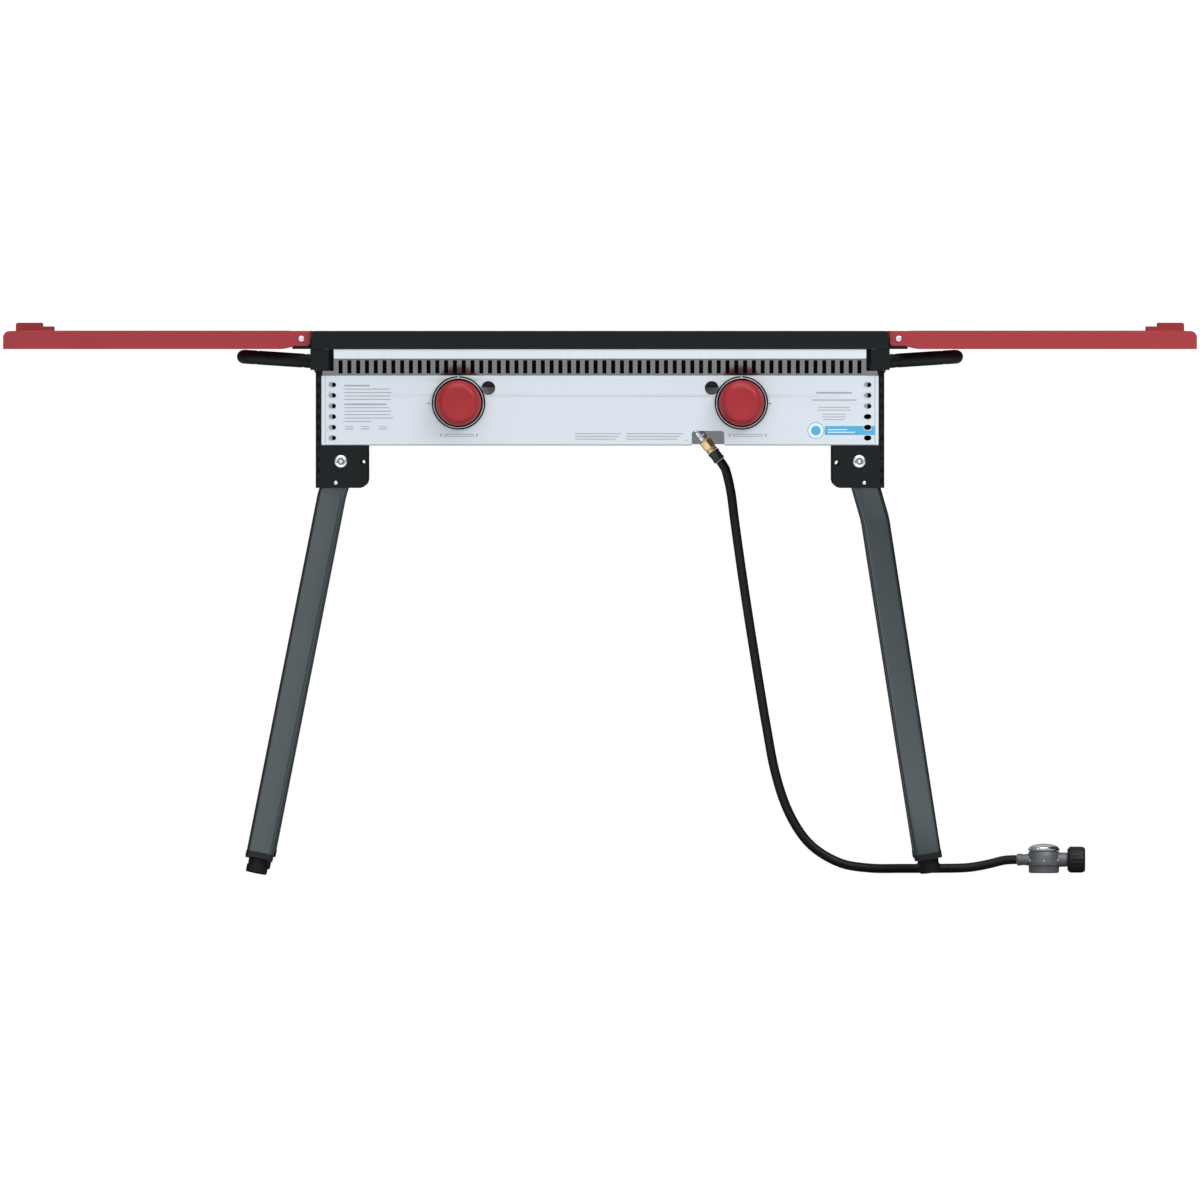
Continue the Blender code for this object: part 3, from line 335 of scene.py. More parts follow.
def casting(name, colour, roughness, metallic, pits=420, depth=0.00018, specular=0.5):
    """Sand-cast metal: pitted skin, stained in patches."""
    s = Surface(name, colour, roughness, metallic)
    s.set(Specular_IOR_Level=specular)
    skin = s.noise(pits, detail=8)
    stain = s.noise(22, detail=6)
    s.rough(stain, 0.1)
    s.tint(s.remap(stain, 0, 0.6), lighter(colour, 0.6))
    s.tint(s.remap(s.noise(90, detail=5), 0, 0.35, 0.55, 0.75), tuple(c * 0.6 + 0.05 for c in colour))
    s.bump(skin, depth, 0.6)
    return s.material


def plated(name, colour, roughness, cloudiness=0.05):
    """Plated or turned metal with faint machining variation."""
    s = Surface(name, colour, roughness, 1.0)
    haze = s.noise(60, detail=5)
    s.rough(haze, cloudiness)
    s.tint(s.remap(haze, 0, 0.4), lighter(colour, 0.86))
    s.bump(s.noise(500, detail=4), 0.00002, 0.4)
    return s.material


def printed(name, colour, roughness=0.5):
    """Ink or film on the panel, with a slightly uneven lay-down."""
    s = Surface(name, colour, roughness)
    grain = s.noise(700, detail=3)
    s.tint(s.remap(grain, 0, 0.4), lighter(colour, 1.15))
    s.bump(grain, 0.00002, 0.3)
    return s.material


LOOKS = {
    "stainless": brushed_steel("panel_steel", (0.685, 0.735, 0.785), 0.4, 0.35),
    "rear_steel": brushed_steel("rear_steel", (0.4, 0.415, 0.43), 0.38, 0.75),
    # painted shade: a darker copy of the panel steel, for the front vent strip and the bottom bead
    "vent_painted_shade_steel": brushed_steel("vent_painted_shade_steel", (0.175, 0.18, 0.187), 0.2, 0.92),
    "strip_steel": brushed_steel("strip_steel", (0.76, 0.8, 0.84), 0.32, 0.35),
    "shield_aluminium": brushed_steel("shield_aluminium", (0.42, 0.43, 0.45), 0.42, 0.9),
    "black_enamel": powder_coat("black_powder_coat", (0.0065, 0.0085, 0.0092), 0.45, specular=0.16,
                                dust=0.06),
    "leg_enamel": gloss_coat("leg_gloss_coat", (0.011, 0.014, 0.0155), 0.24),
    "red_enamel": powder_coat("red_powder_coat", (0.345, 0.034, 0.04), 0.44, specular=0.28, dust=0.16),
    "black_grip": moulded("grip_rubber", (0.0085, 0.009, 0.0095), 0.44, 900, 0.00012, 0.24),
    "cast_iron": casting("grate_iron", (0.022, 0.022, 0.023), 0.58, 0.2),
    "burner_casting": casting("burner_casting", (0.36, 0.36, 0.37), 0.5, 0.9, 300, 0.0002),
    "burner_cap": casting("burner_cap_iron", (0.05, 0.048, 0.046), 0.62, 0.4),
    "valve_brass": plated("turned_brass", (0.92, 0.66, 0.33), 0.4),
    "knob_red": moulded("knob_plastic", (0.35, 0.02, 0.026), 0.36, 1600, 0.00003, 0.3),
    "bezel_metal": plated("bezel_satin", (0.88, 0.89, 0.9), 0.3),
    "bezel_dark": moulded("bezel_plastic", (0.006, 0.005, 0.006), 0.42, specular=0.16),
    "bright_steel": plated("zinc_plate", (0.82, 0.83, 0.85), 0.3),
    # painted shade: a dark copy of the bright steel for the ring in each pivot bolt's recess
    "recess_painted_shade_steel": plated("recess_painted_shade_steel", (0.2, 0.2, 0.21), 0.45),
    "foot_rubber": moulded("foot_rubber", (0.008, 0.008, 0.009), 0.52, 700, 0.00015, 0.25),
    "hose_rubber": moulded("hose_rubber", (0.006, 0.006, 0.007), 0.4, 1200, 0.00004, 0.22),
    "ferrule": moulded("ferrule_black", (0.03, 0.031, 0.032), 0.36, 900, 0.00005, 0.45),
    "regulator_grey": casting("regulator_paint", (0.17, 0.18, 0.19), 0.42, 0.3, 700, 0.00006),
    "chrome_cap": plated("chrome", (0.8, 0.81, 0.82), 0.12, 0.03),
    "nut_plastic": moulded("nut_plastic", (0.01, 0.01, 0.011), 0.46, specular=0.3),
    "ink": printed("grey_ink", (0.3, 0.32, 0.35)),
    "blue_film": printed("blue_film", (0.065, 0.37, 0.6), 0.4),
    "white_ink": printed("white_ink", (0.74, 0.77, 0.8)),
    "ceramic": moulded("ceramic", (0.72, 0.7, 0.66), 0.3, 900, 0.00002),
    # painted shade: a near-black paint for the sheets and marks that stand for shade in slots, holes and
    # recessed edges
    "painted_shade_black": casting("painted_shade_paint", (0.0025, 0.0025, 0.0027), 0.7, 0.0, 250, 0.0001, 0.06),
}


# ---- building blocks ----
def make_object(name, bm, sharp=35):
    bmesh.ops.remove_doubles(bm, verts=bm.verts, dist=1e-7)
    bmesh.ops.recalc_face_normals(bm, faces=bm.faces)
    mesh = bpy.data.meshes.new(name)
    bm.to_mesh(mesh)
    bm.free()
    mesh.shade_smooth()
    mesh.set_sharp_from_angle(angle=radians(sharp))
    return add_object(name, mesh)


def apply_modifiers(obj, sharp=35):
    """Bake an object's modifiers into its mesh; with no angle given its normals stay as they come."""
    bpy.context.view_layer.update()
    evaluated = obj.evaluated_get(bpy.context.evaluated_depsgraph_get())
    mesh = bpy.data.meshes.new_from_object(evaluated)
    obj.modifiers.clear()
    obj.data = mesh
    if sharp:
        mesh.shade_smooth()
        mesh.set_sharp_from_angle(angle=radians(sharp))
    return obj


def bevel(obj, width, segments=2, limit=30):
    """Round the sharp edges and keep the faces beside them shaded flat."""
    modifier = obj.modifiers.new("bevel", "BEVEL")
    modifier.harden_normals = True
    modifier.width = width
    modifier.segments = segments
    modifier.limit_method = "ANGLE"
    modifier.angle_limit = radians(limit)
    modifier.use_clamp_overlap = True
    return apply_modifiers(obj, None)


def dress(obj, look, body="root", stands_for=()):
    """Give a piece its material, body and, where it stands for CAD nodes, their names."""
    obj.data.materials.clear()
    obj.data.materials.append(LOOKS[look])
    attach(obj, body)
    nodes = [stands_for] if isinstance(stands_for, str) else list(stands_for)
    if nodes:
        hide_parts(*nodes)
    return obj


def make_piece(name, bm, look, body="root", stands_for=()):
    return dress(make_object(name, bm), look, body, stands_for)


def refine(node, look, width=0.0004, segments=2, sharp=35, limit=30):
    """A copy of a CAD node with its flat faces merged and its edges rounded."""
    bm = bmesh.new()
    bm.from_mesh(NODES[node].data)
    bmesh.ops.remove_doubles(bm, verts=bm.verts, dist=1e-6)
    bmesh.ops.dissolve_limit(bm, angle_limit=radians(0.6), verts=bm.verts, edges=bm.edges)
    obj = make_object(node + "_skin", bm, sharp)
    if width:
        bevel(obj, width, segments, limit)
    return dress(obj, look, BODY_OF[node], node)


def circle(centre_u, centre_v, radius, count=40, radius_v=None):
    other = radius if radius_v is None else radius_v
    steps = [2 * pi * i / count for i in range(count)]
    return [(centre_u + radius * cos(a), centre_v + other * sin(a)) for a in steps]


def rect(u0, u1, v0, v1):
    return [(u0, v0), (u1, v0), (u1, v1), (u0, v1)]


def rounded_rect(u0, u1, v0, v1, radius, steps=5):
    corners = [(u1 - radius, v1 - radius, 0), (u0 + radius, v1 - radius, 90),
               (u0 + radius, v0 + radius, 180), (u1 - radius, v0 + radius, 270)]
    points = []
    for u, v, start in corners:
        for i in range(steps + 1):
            angle = radians(start + 90 * i / steps)
            points.append((u + radius * cos(angle), v + radius * sin(angle)))
    return points


def add_prism(bm, axis, low, high, outline, holes=()):
    """Add an extruded outline with holes, along X, Y or Z."""
    def place(point, along):
        u, v = point
        return {"X": (along, u, v), "Y": (u, along, v), "Z": (u, v, along)}[axis]

    loops = [outline] + list(holes)
    triangles = tessellate_polygon([[Vector((u, v, 0)) for u, v in loop] for loop in loops])
    flat = [point for loop in loops for point in loop]
    bottom = [bm.verts.new(place(point, low)) for point in flat]
    top = [bm.verts.new(place(point, high)) for point in flat]
    for a, b, c in triangles:
        bm.faces.new((bottom[a], bottom[b], bottom[c]))
        bm.faces.new((top[c], top[b], top[a]))
    start = 0
    for loop in loops:
        for i in range(len(loop)):
            a = start + i
            b = start + (i + 1) % len(loop)
            bm.faces.new((bottom[a], bottom[b], top[b], top[a]))
        start += len(loop)


def prism(name, axis, low, high, outline, holes=(), merge=False):
    bm = bmesh.new()
    add_prism(bm, axis, low, high, outline, holes)
    if merge:
        bmesh.ops.dissolve_limit(bm, angle_limit=radians(0.5), verts=bm.verts, edges=bm.edges)
    return make_object(name, bm)


def add_turned(bm, origin, direction, profile, segments=64, shape=None):
    """Add a turned profile of (along, radius) points. shape(angle, along) scales the radius."""
    axis = Vector(direction).normalized()
    across = axis.orthogonal().normalized()
    up = axis.cross(across)
    rings = []
    for along, radius in profile:
        centre = Vector(origin) + axis * along
        if radius == 0:
            rings.append([bm.verts.new(centre)])
            continue
        ring = []
        for i in range(segments):
            a = 2 * pi * i / segments
            r = radius * (shape(a, along) if shape else 1)
            ring.append(bm.verts.new(centre + (across * cos(a) + up * sin(a)) * r))
        rings.append(ring)
    closed = len(rings[0]) > 1 and len(rings[-1]) > 1
    pairs = list(zip(rings, rings[1:])) + ([(rings[-1], rings[0])] if closed else [])
    for first, second in pairs:
        for i in range(segments):
            j = (i + 1) % segments
            corners = [first[i % len(first)], first[j % len(first)],
                       second[j % len(second)], second[i % len(second)]]
            corners = [v for n, v in enumerate(corners) if v not in corners[:n]]
            if len(corners) > 2:
                bm.faces.new(corners)


def turned(name, origin, direction, profile, segments=64, shape=None, sharp=35):
    bm = bmesh.new()
    add_turned(bm, origin, direction, profile, segments, shape)
    return make_object(name, bm, sharp)


def skin(bm, rings):
    """Join each ring of vertices to the next with a band of faces."""
    count = len(rings[0])
    for first, second in zip(rings, rings[1:]):
        for i in range(count):
            j = (i + 1) % count
            bm.faces.new((first[i], first[j], second[j], second[i]))


def add_tube(bm, path, radius, sides=24):
    """Add a round tube along a path, its section kept from twisting, with closed ends."""
    points = [Vector(p) for p in path]
    across = (points[1] - points[0]).orthogonal().normalized()
    rings = []
    for i, point in enumerate(points):
        along = (points[min(i + 1, len(points) - 1)] - points[max(i - 1, 0)]).normalized()
        across = (across - along * across.dot(along)).normalized()
        up = along.cross(across)
        size = radius(i / (len(points) - 1)) if callable(radius) else radius
        steps = [2 * pi * k / sides for k in range(sides)]
        rings.append([bm.verts.new(point + (across * cos(a) + up * sin(a)) * size) for a in steps])
    skin(bm, rings)
    bm.faces.new(rings[0])
    bm.faces.new(rings[-1])


def tube(name, path, radius, sides=24):
    bm = bmesh.new()
    add_tube(bm, path, radius, sides)
    return make_object(name, bm)


def smooth_curve(points, spacing):
    """Points at an even spacing along a Catmull-Rom curve through the given points."""
    knots = [Vector(p) for p in points]
    knots = [knots[0] * 2 - knots[1]] + knots + [knots[-1] * 2 - knots[-2]]
    fine = []
    for i in range(1, len(knots) - 2):
        p0, p1, p2, p3 = knots[i - 1:i + 3]
        for step in range(24):
            t = step / 24
            fine.append(0.5 * (2 * p1 + (p2 - p0) * t + (2 * p0 - 5 * p1 + 4 * p2 - p3) * t * t
                               + (3 * p1 - p0 - 3 * p2 + p3) * t ** 3))
    fine.append(knots[-2])
    total = sum((b - a).length for a, b in zip(fine, fine[1:]))
    count = max(2, round(total / spacing))
    result = [fine[0]]
    travelled = 0.0
    for a, b in zip(fine, fine[1:]):
        travelled += (b - a).length
        if travelled >= len(result) * total / count and len(result) < count:
            result.append(b)
    return result + [fine[-1]]


# ---- hose, nut, ferrule and regulator ----
NUT_CENTRE = Vector((0.1534, -0.07, 0.605))
INLET_DIRECTION = Vector((0.602, 0.0, -0.7985)).normalized()
HOSE_RADIUS = 0.0065
HOSE_STRAIGHT = 0.006
HOSE_ROUTE = [
    (0.1778, -0.07, 0.5705),
    (0.185, -0.07, 0.54),
    (0.1905, -0.0698, 0.498),
    (0.2, -0.0692, 0.43),
    (0.2105, -0.0682, 0.36),
    (0.2225, -0.067, 0.285),
    (0.235, -0.0655, 0.21),
    (0.248, -0.064, 0.142),
    (0.267, -0.0625, 0.086),
    (0.296, -0.0605, 0.042),
    (0.337, -0.0575, 0.0155),
    (0.38, -0.054, 0.0072),
    (0.43, -0.049, 0.0065),
    (0.48, -0.044, 0.0065),
    (0.52, -0.042, 0.0075),
    (0.55, -0.042, 0.0125),
    (0.57, -0.0427, 0.0176),
]
HOSE_END = Vector((0.59, -0.043, 0.0188))
PORT_Z = HOSE_END.z


def make_hose(with_pieces):
    start = NUT_CENTRE + INLET_DIRECTION * 0.0266
    lead = start + INLET_DIRECTION * HOSE_STRAIGHT
    tail = HOSE_END - Vector((HOSE_STRAIGHT, 0, 0))
    points = [start] + smooth_curve([lead] + HOSE_ROUTE + [tail], 0.008) + [HOSE_END]
    curve = bpy.data.curves.new("hose", "CURVE")
    curve.dimensions = "3D"
    curve.bevel_depth = HOSE_RADIUS
    curve.bevel_resolution = 8
    curve.use_fill_caps = True
    spline = curve.splines.new("POLY")
    spline.points.add(len(points) - 1)
    for target, point in zip(spline.points, points):
        target.co = (*point, 1)
    spline.use_smooth = True
    hose = add_object("hose", curve)
    dress(hose, "hose_rubber", "root", "gas_hose")


def hexagon(angle, along):
    """Radius of a hexagon's outline, for a unit circle round its corners."""
    third = pi / 3
    return cos(third / 2) / cos((angle % third) - third / 2)


def make_brass_nut():
    length = 0.02
    start = NUT_CENTRE - INLET_DIRECTION * length / 2
    flat_profile = [(0, 0), (0, 0.0076), (0.001, 0.0089), (0.0025, 0.0092), (0.0125, 0.0092),
                    (0.0138, 0.0086)]
    bm = bmesh.new()
    add_turned(bm, start, INLET_DIRECTION, flat_profile + [(0.0138, 0)], 96, hexagon)
    neck = [(0.0138, 0), (0.0138, 0.008), (0.0148, 0.008), (0.0155, 0.0074), (0.0162, 0.008), (0.019, 0.008),
            (0.02, 0.0073), (0.02, 0)]
    add_turned(bm, start, INLET_DIRECTION, neck, 48)
    nut = make_object("inlet_nut", bm, 28)
    dress(nut, "valve_brass", "root", "brass_nut")


def make_ferrule():
    """A crimped sleeve: a bead at each end and pressed flutes between."""
    start = NUT_CENTRE + INLET_DIRECTION * 0.0103
    profile = [(0, 0), (0, 0.0078), (0.0008, 0.0086), (0.002, 0.0088), (0.0034, 0.0085), (0.004, 0.0082),
               (0.0118, 0.0081), (0.0126, 0.0084), (0.014, 0.0085), (0.0152, 0.0082), (0.016, 0.0073),
               (0.016, 0)]

    def flutes(angle, along):
        return 1 - (0.035 * (0.5 + 0.5 * cos(8 * angle)) if 0.0036 < along < 0.0122 else 0)

    dress(turned("crimped_ferrule", start, INLET_DIRECTION, profile, 64, flutes), "ferrule", "root",
          "hose_ferrule")


def make_regulator():
    """Die-cast body with a bolted flange, chrome cap, vent stub and a ribbed tank nut."""
    low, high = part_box("regulator_cap")
    centre = (low + high) / 2
    x, y = centre.x, centre.y
    port_x = HOSE_END.x + 0.0003
    bm = bmesh.new()
    body = [(0, 0), (0, 0.02), (0.0012, 0.0214), (0.009, 0.0216), (0.0105, 0.022), (0.0112, 0.0238),
            (0.0125, 0.024), (0.0165, 0.024), (0.0175, 0.0238), (0.0185, 0.0222), (0.029, 0.0218),
            (0.0308, 0.0206), (0.0309, 0)]
    add_turned(bm, (x, y, 0), (0, 0, 1), body, 72)
    port = [(0, 0), (0, 0.0076), (0.001, 0.0085), (0.006, 0.0085), (0.0068, 0.0078), (0.011, 0.0078),
            (0.02, 0.009), (0.02, 0)]
    add_turned(bm, (port_x, y, PORT_Z), (1, 0, 0), port, 40)
    inlet = [(0, 0), (0, 0.0105), (0.014, 0.01), (0.014, 0)]
    add_turned(bm, (x + 0.019, y, PORT_Z), (1, 0, 0), inlet, 40)
    body = make_piece("regulator_casting", bm, "regulator_grey", "root", "regulator_body")

    bm = bmesh.new()
    for i in range(6):
        a = radians(30 + 60 * i)
        place = (x + 0.0228 * cos(a), y + 0.0228 * sin(a), 0.0165)
        add_turned(bm, place, (0, 0, 1), [(0, 0), (0, 0.0022), (0.0014, 0.0022), (0.0022, 0.0014),
                                          (0.0024, 0)], 16)
    screws = make_piece("regulator_screws", bm, "bright_steel", "root")

    base = low.z
    dome = [(0, 0), (0, 0.022), (0.0008, 0.0225), (0.0026, 0.0225), (0.0034, 0.0218)]
    dome += [(0.0034 + 0.0066 * sin(radians(a)), 0.0212 * cos(radians(a))) for a in range(5, 86,
                                                                                          8)] + [(0.0101, 0)]
    cap = dress(turned("regulator_chrome_cap", (x, y, base), (0, 0, 1), dome, 72), "chrome_cap", "root",
                "regulator_cap")

    low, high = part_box("tank_nut")
    radius = (high.z - low.z) / 2
    length = high.x - low.x
    rim = [(0, 0), (0, radius - 0.004), (0.0015, radius - 0.0018), (0.004, radius), (length - 0.005, radius),
           (length - 0.0015, radius - 0.0012), (length, radius - 0.003), (length, 0.0125), (0.01, 0.0122),
           (0.01, 0)]

    def ribs(angle, along):
        grip = 0.003 < along < length - 0.004
        return 1 - (0.05 * max(0.0, cos(18 * angle)) ** 2 if grip else 0)

    nut = dress(turned("ribbed_tank_nut", (low.x, y, PORT_Z), (1, 0, 0), rim, 144, ribs), "nut_plastic",
                "root",
                "tank_nut")
    return [body, screws, cap, nut]


make_hose(make_regulator())
make_brass_nut()
make_ferrule()


# ---- body panels ----
PANEL_FACE_Y = 0.18
RAIL_TOP_Z = 0.767
BURNER_Y = 0.03
KNOB_X, KNOB_Z = 0.1995, 0.6657
VIEW_HOLE = (0.1576, 0.6867, 0.0097)
VENT_X, VENT_TOP_Z, VENT_PITCH, VENT_COUNT = 0.3775, 0.6912, 0.015, 6
SHEET = 0.0015
PRINT_DEPTH = 0.0001


def vent_centres(side):
    """The middles of the oval vents down one side of the panel, as (x, z)."""
    return [(side * VENT_X, VENT_TOP_Z - VENT_PITCH * i) for i in range(VENT_COUNT)]


def make_front_panel():
    """The front sheet with its smooth-edged view holes, side vents and hose notch."""
    low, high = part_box("front_panel")
    bottom, top, half = low.z, high.z, high.x
    x0, x1, notch_top, r = 0.1294, 0.1753, 0.6262, 0.0045
    notch = [(x0, bottom)]
    notch += [(x0 + r * (1 + cos(radians(a))), notch_top - r * (1 - sin(radians(a)))) for a in range(180,
                                                                                                     89, -15)]
    notch += [(x1 - r * (1 - cos(radians(a))), notch_top - r * (1 - sin(radians(a)))) for a in range(90, -1,
                                                                                                     -15)]
    notch.append((x1, bottom))
    outline = [(-half, bottom)] + notch + [(half, bottom), (half, top), (-half, top)]
    holes = []
    for side in SIDES.values():
        holes.append(circle(side * KNOB_X, KNOB_Z, 0.0085, 32))
        holes.append(circle(side * VIEW_HOLE[0], VIEW_HOLE[1], VIEW_HOLE[2], 56))
        holes += [circle(x, z, 0.00515, 32, 0.0038) for x, z in vent_centres(side)]
    panel = prism("front_sheet", "Y", low.y, low.y + SHEET, outline, holes, merge=True)
    bevel(panel, 0.0003, 2)
    bm = bmesh.new()
    bm.from_mesh(panel.data)
    for a, b in ((-0.32, x0 - 0.001), (x1 + 0.001, 0.32)):
        add_prism(bm, "Z", bottom, bottom + SHEET, rect(a, b, low.y + 0.0008, high.y))
    bm.to_mesh(panel.data)
    bm.free()
    dress(panel, "stainless", "root", "front_panel")
    for label, side in SIDES.items():
        # a rolled hem down each side of the sheet catches the light
        edge = [(side * 0.3885, low.y - 0.0002), (side * 0.389, low.y - 0.0006),
                (side * 0.392, low.y - 0.0006),
                (side * 0.3926, low.y + 0.0002)]
        hem = prism(label + "_panel_hem", "Z", bottom + 0.001, top - 0.0006, edge)
        dress(hem, "strip_steel")


def make_panel_rims():
    """Rolled rims round the flame view holes, and pressed rims round the oval side vents."""
    face = -PANEL_FACE_Y - 0.00005
    hole_x, hole_z, radius = VIEW_HOLE
    ring = [(0, radius + 0.0001), (-0.0003, radius + 0.0003), (-0.0003, radius + 0.0007), (0, radius + 0.001)]
    for label, side in SIDES.items():
        bm = bmesh.new()
        add_turned(bm, (side * hole_x, face, hole_z), (0, 1, 0), ring, 56)
        for x, z in vent_centres(side):
            rings = []
            for px, pz in circle(x, z, 0.0056, 28, 0.0043):
                out = Vector((px - x, pz - z)).normalized()
                rings.append([bm.verts.new((px + out.x * u, face + v, pz + out.y * u))
                              for u, v in ((-0.0004, 0), (0, -0.00035), (0.0004, 0))])
            skin(bm, rings + rings[:1])
        make_piece(label + "_hole_rims", bm, "strip_steel")


make_front_panel()
make_panel_rims()


def combine(base, tool, operation="DIFFERENCE"):
    """Cut a tool from the base, or join it, and remove the tool."""
    modifier = base.modifiers.new("combine", "BOOLEAN")
    modifier.operation = operation
    modifier.solver = "EXACT"
    modifier.object = tool
    apply_modifiers(base)
    bpy.data.objects.remove(tool, do_unlink=True)
    return base


def cut_round(base, centre, direction, radius, length, segments=40):
    half = length / 2
    profile = [(-half, 0), (-half, radius), (half, radius), (half, 0)]
    return combine(base, turned("drill", centre, direction, profile, segments))


def box_in(bm, xs, ys, zs):
    add_prism(bm, "Z", *zs, rect(*xs, *ys))


def rounded_box(name, xs, ys, zs, width=0.0005):
    """A box with its edges rounded."""
    bm = bmesh.new()
    box_in(bm, sorted(xs), sorted(ys), sorted(zs))
    bmesh.ops.dissolve_limit(bm, angle_limit=radians(0.5), verts=bm.verts, edges=bm.edges)
    return bevel(make_object(name, bm), width, 3)


def rivet(bm, place, direction, radius=0.0032, height=0.0012):
    """A domed rivet head."""
    dome = [(-0.0004, 0), (-0.0004, radius)]
    dome += [(height * sin(radians(a)), radius * cos(radians(a))) for a in range(10, 81, 14)] + [(height, 0)]
    add_turned(bm, place, direction, dome, 20)


def make_sheet_parts():
    """The rest of the sheet metal, with its edges rounded."""
    # the front vent strip gets the darker steel copy, which is painted shade
    for node, look in {"rear_panel": "rear_steel", "front_upper_strip": "strip_steel",
                       "front_vent_strip": "vent_painted_shade_steel", "centre_divider": "shield_aluminium",
                       "heat_shield": "shield_aluminium", "burner_bracket": "shield_aluminium",
                       "left_side_panel": "black_enamel", "right_side_panel": "black_enamel"}.items():
        refine(node, look, 0.0003)
    for end_label in ENDS:
        refine(end_label + "_top_rail", "black_enamel", 0.0006, 3)
        for side_label in SIDES:
            refine(end_label + "_" + side_label + "_corner", "black_enamel", 0.0005, 3)
            refine(end_label + "_" + side_label + "_leg_bracket", "black_enamel", 0.0005, 3)


def make_vent_slot_shade():
    """A black sheet behind the vent slots, painted shade so that they read dark as on the real stove."""
    outline = [(-0.1845, 0.74), (-0.1755, 0.7052), (-0.1745, 0.7052), (-0.1835, 0.74)]
    shade_sheet = prism("vent_slots_painted_shade", "X", -0.392, 0.392, outline)
    dress(shade_sheet, "painted_shade_black")


def make_panel_trim():
    """A bead along the panel's bottom edge, and rivets."""
    low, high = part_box("front_panel")
    bead = [(low.y + 0.0004, low.z + 0.0001), (low.y - 0.0002, low.z + 0.0002),
            (low.y - 0.0005, low.z + 0.0006),
            (low.y - 0.0004, low.z + 0.0011), (low.y + 0.0002, low.z + 0.0014),
            (low.y + 0.0004, low.z + 0.0014)]
    # the bead gets the darker steel copy, which is painted shade along the panel's bottom edge
    for name, x0, x1 in (("left", -high.x, 0.129), ("right", 0.1757, high.x)):
        dress(prism(name + "_bottom_bead", "X", x0, x1, bead), "vent_painted_shade_steel")
    bm = bmesh.new()
    for side in SIDES.values():
        for z in (low.z + 0.004, high.z - 0.004):
            rivet(bm, (side * 0.3845, low.y, z), (0, -1, 0), 0.0016, 0.0006)
    make_piece("panel_rivets", bm, "strip_steel")

    # behind each oval side vent a grey flange shows, with a round hole to one side
    for label, side in SIDES.items():
        bm = bmesh.new()
        for x, z in vent_centres(side):
            add_prism(bm, "Y", low.y + 0.0022, low.y + 0.0032,
                      rect(x - 0.008, x + 0.008, z - 0.0074, z + 0.0074),
                      [circle(x + 0.0024, z, 0.0031, 20)])
        make_piece(label + "_vent_flange", bm, "rear_steel")
        # a black box behind each flange is painted shade, seen through the vents and the flanges' holes
        bm = bmesh.new()
        x = side * VENT_X
        box_in(bm, (x - 0.0085, x + 0.0085), (low.y + 0.0048, low.y + 0.0055), (0.609, 0.7))
        make_piece(label + "_oval_vent_painted_shade", bm, "painted_shade_black")


def make_side_trim():
    """Black ovals down the corner posts, painted shade standing for perforation holes, and rivets on the side
    panels.
    """
    for label, side in SIDES.items():
        bm = bmesh.new()
        face = -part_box("front_left_leg_bracket")[0].y
        for end in ENDS.values():
            for i in range(11):
                # each black oval is painted shade where a perforation hole would show dark
                outline = circle(side * 0.3972, 0.706 - VENT_PITCH * i, 0.0017, 20, 0.0044)
                add_prism(bm, "Y", *sorted((end * (face - 0.0004), end * (face + 0.00012))), outline)
        make_piece(label + "_post_painted_hole_shade", bm, "painted_shade_black")
        bm = bmesh.new()
        for y in (-0.15, -0.04, 0.04, 0.15):
            for z in (0.614, 0.712):
                if abs(y) > 0.1 or z < 0.7:
                    rivet(bm, (side * 0.3997, y, z), (side, 0, 0))
        make_piece(label + "_side_rivets", bm, "bright_steel")


def make_corner_shade_strips():
    """A black strip down the turned edge of each corner piece, painted shade so that it reads darker than its
    face.
    """
    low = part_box("front_left_corner")[0]
    for end_label, end in ENDS.items():
        bm = bmesh.new()
        faces = sorted((-end * (low.y - 0.0003), -end * (low.y + 0.0004)))
        for side in SIDES.values():
            add_prism(bm, "Y", *faces,
                      [(side * 0.3762, low.z + 0.0062), (side * 0.3824, low.z + 0.0008),
                       (side * 0.3824, 0.75),
                       (side * 0.3762, 0.75)])
        make_piece(end_label + "_corner_lips", bm, "painted_shade_black")


def lay_print(bm, outline, holes=(), proud=0.00005):
    """A thin film on the panel's face."""
    add_prism(bm, "Y", -PANEL_FACE_Y - proud, -PANEL_FACE_Y + PRINT_DEPTH, outline, holes)


def text_bar(bm, x0, x1, z, height=0.001):
    lay_print(bm, rect(x0, x1, z - height / 2, z + height / 2))


